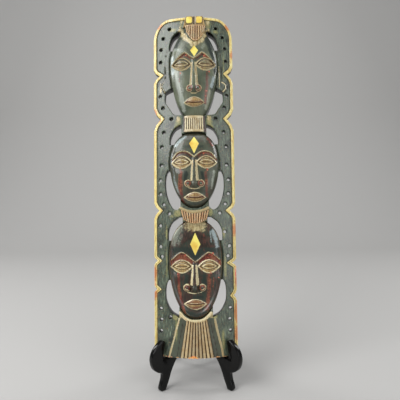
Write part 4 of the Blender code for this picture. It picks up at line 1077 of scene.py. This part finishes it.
def buildStage():
    size = 4.0
    body = bmesh.new()
    profile = [(-size, 0.0), (0.9, 0.0)]
    profile += [(0.9 + 0.6 * math.sin(a), 0.6 - 0.6 * math.cos(a)) for a in np.linspace(0.1, math.pi / 2, 14)]
    profile.append((1.5, size))
    rows = [[body.verts.new((x, y, z)) for y, z in profile] for x in (-size, size)]
    for i in range(len(profile) - 1):
        body.faces.new((rows[0][i], rows[1][i], rows[1][i + 1], rows[0][i + 1]))
    mesh = bpy.data.meshes.new("paleFloor")
    body.to_mesh(mesh)
    body.free()
    mesh.shade_smooth()
    floor = bpy.data.objects.new("paleFloor", mesh)
    bpy.context.scene.collection.objects.link(floor)
    material, tree = newMaterial("palePaper")
    shader = addNode(tree, "ShaderNodeBsdfPrincipled", {}, {"Base Color": "#b4b3b1", "Roughness": 0.8})
    addNode(tree, "ShaderNodeOutputMaterial", {}, {0: shader.outputs[0]})
    mesh.materials.append(material)


studio = {
    "softbox": {"at": (-1.1, -0.9, 1.3), "size": (1.1, 1.1), "power": 24.0},
    "fill": {"at": (1.3, -1.2, 0.7), "size": (1.2, 1.2), "power": 9.0},
    "top": {"at": (0.0, -0.1, 1.9), "size": (1.4, 1.0), "power": 12.0},
    "leftEdge": {"at": (-1.15, 0.4, 0.95), "size": (0.3, 0.6), "power": 5.0},
    "rightEdge": {"at": (1.15, 0.4, 0.95), "size": (0.3, 0.6), "power": 5.0},
    "world": 0.32,
}


def addStudio():
    for name in ("softbox", "fill", "top", "leftEdge", "rightEdge"):
        given = studio[name]
        data = bpy.data.lights.new(name, "AREA")
        data.shape = "RECTANGLE"
        data.size, data.size_y = given["size"]
        data.energy = given["power"]
        lamp = bpy.data.objects.new(name, data)
        lamp.location = given["at"]
        aim = Vector((0.0, 0.0, 0.3)) - Vector(given["at"])
        lamp.rotation_euler = aim.to_track_quat("-Z", "Y").to_euler()
        bpy.context.scene.collection.objects.link(lamp)
    world = bpy.data.worlds.new("softRoom")
    bpy.context.scene.world = world
    world.use_nodes = True
    world.node_tree.nodes["Background"].inputs[0].default_value = linear("#e6e8ea")
    world.node_tree.nodes["Background"].inputs[1].default_value = studio["world"]
    bpy.context.scene.view_settings.view_transform = "Standard"


lens = {
    "at": (0.0189, -0.6296, 0.3227),
    "pitch": math.radians(-4.99),
    "yaw": math.radians(-0.98),
    "roll": math.radians(-0.88),
    "fieldOfView": math.radians(50.0),
}


def addCamera():
    cosP, sinP = math.cos(lens["pitch"]), math.sin(lens["pitch"])
    cosY, sinY = math.cos(lens["yaw"]), math.sin(lens["yaw"])
    forward = Vector((sinY * cosP, cosY * cosP, sinP))
    right = Vector((cosY, -sinY, 0.0))
    up = right.cross(forward)
    cosR, sinR = math.cos(lens["roll"]), math.sin(lens["roll"])
    turnedRight = right * cosR + up * sinR
    turnedUp = up * cosR - right * sinR
    data = bpy.data.cameras.new("photoView")
    data.sensor_width = 36.0
    data.angle = lens["fieldOfView"]
    camera = bpy.data.objects.new("photoView", data)
    turn = Matrix((turnedRight, turnedUp, -forward)).transposed().to_4x4()
    turn.translation = Vector(lens["at"])
    camera.matrix_world = turn
    bpy.context.scene.collection.objects.link(camera)
    bpy.context.scene.camera = camera


addCamera()
addStudio()
buildStage()
print("camera, lights and floor set")

paintedWood = finishPaintedWood()
ribPaint = finishRibs()
lacquer = standFinish()

plaque = buildPlaque()
plaque.data.materials.append(paintedWood)
plaqueParts = [plaque]
tree = ribTree()
for name in ribbed:
    plaqueParts.append(buildRibbed(name, tree, ribPaint))
    print("ribs:", name)
for piece in plaqueParts:
    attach(piece, "root")
    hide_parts("plaque")

for name, side, slotLow, slotHigh in (("left", -1, stand["lapHeight"] - stand["slotGap"], 200.0),
                                      ("right", 1, 0.0, stand["lapHeight"] + stand["slotGap"])):
    panel = buildPanel(name + "Panel", side, slotLow, slotHigh)
    panel.data.materials.append(lacquer)
    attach(panel, "root")
    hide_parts("easel_side_" + name)
    print("stand:", name)
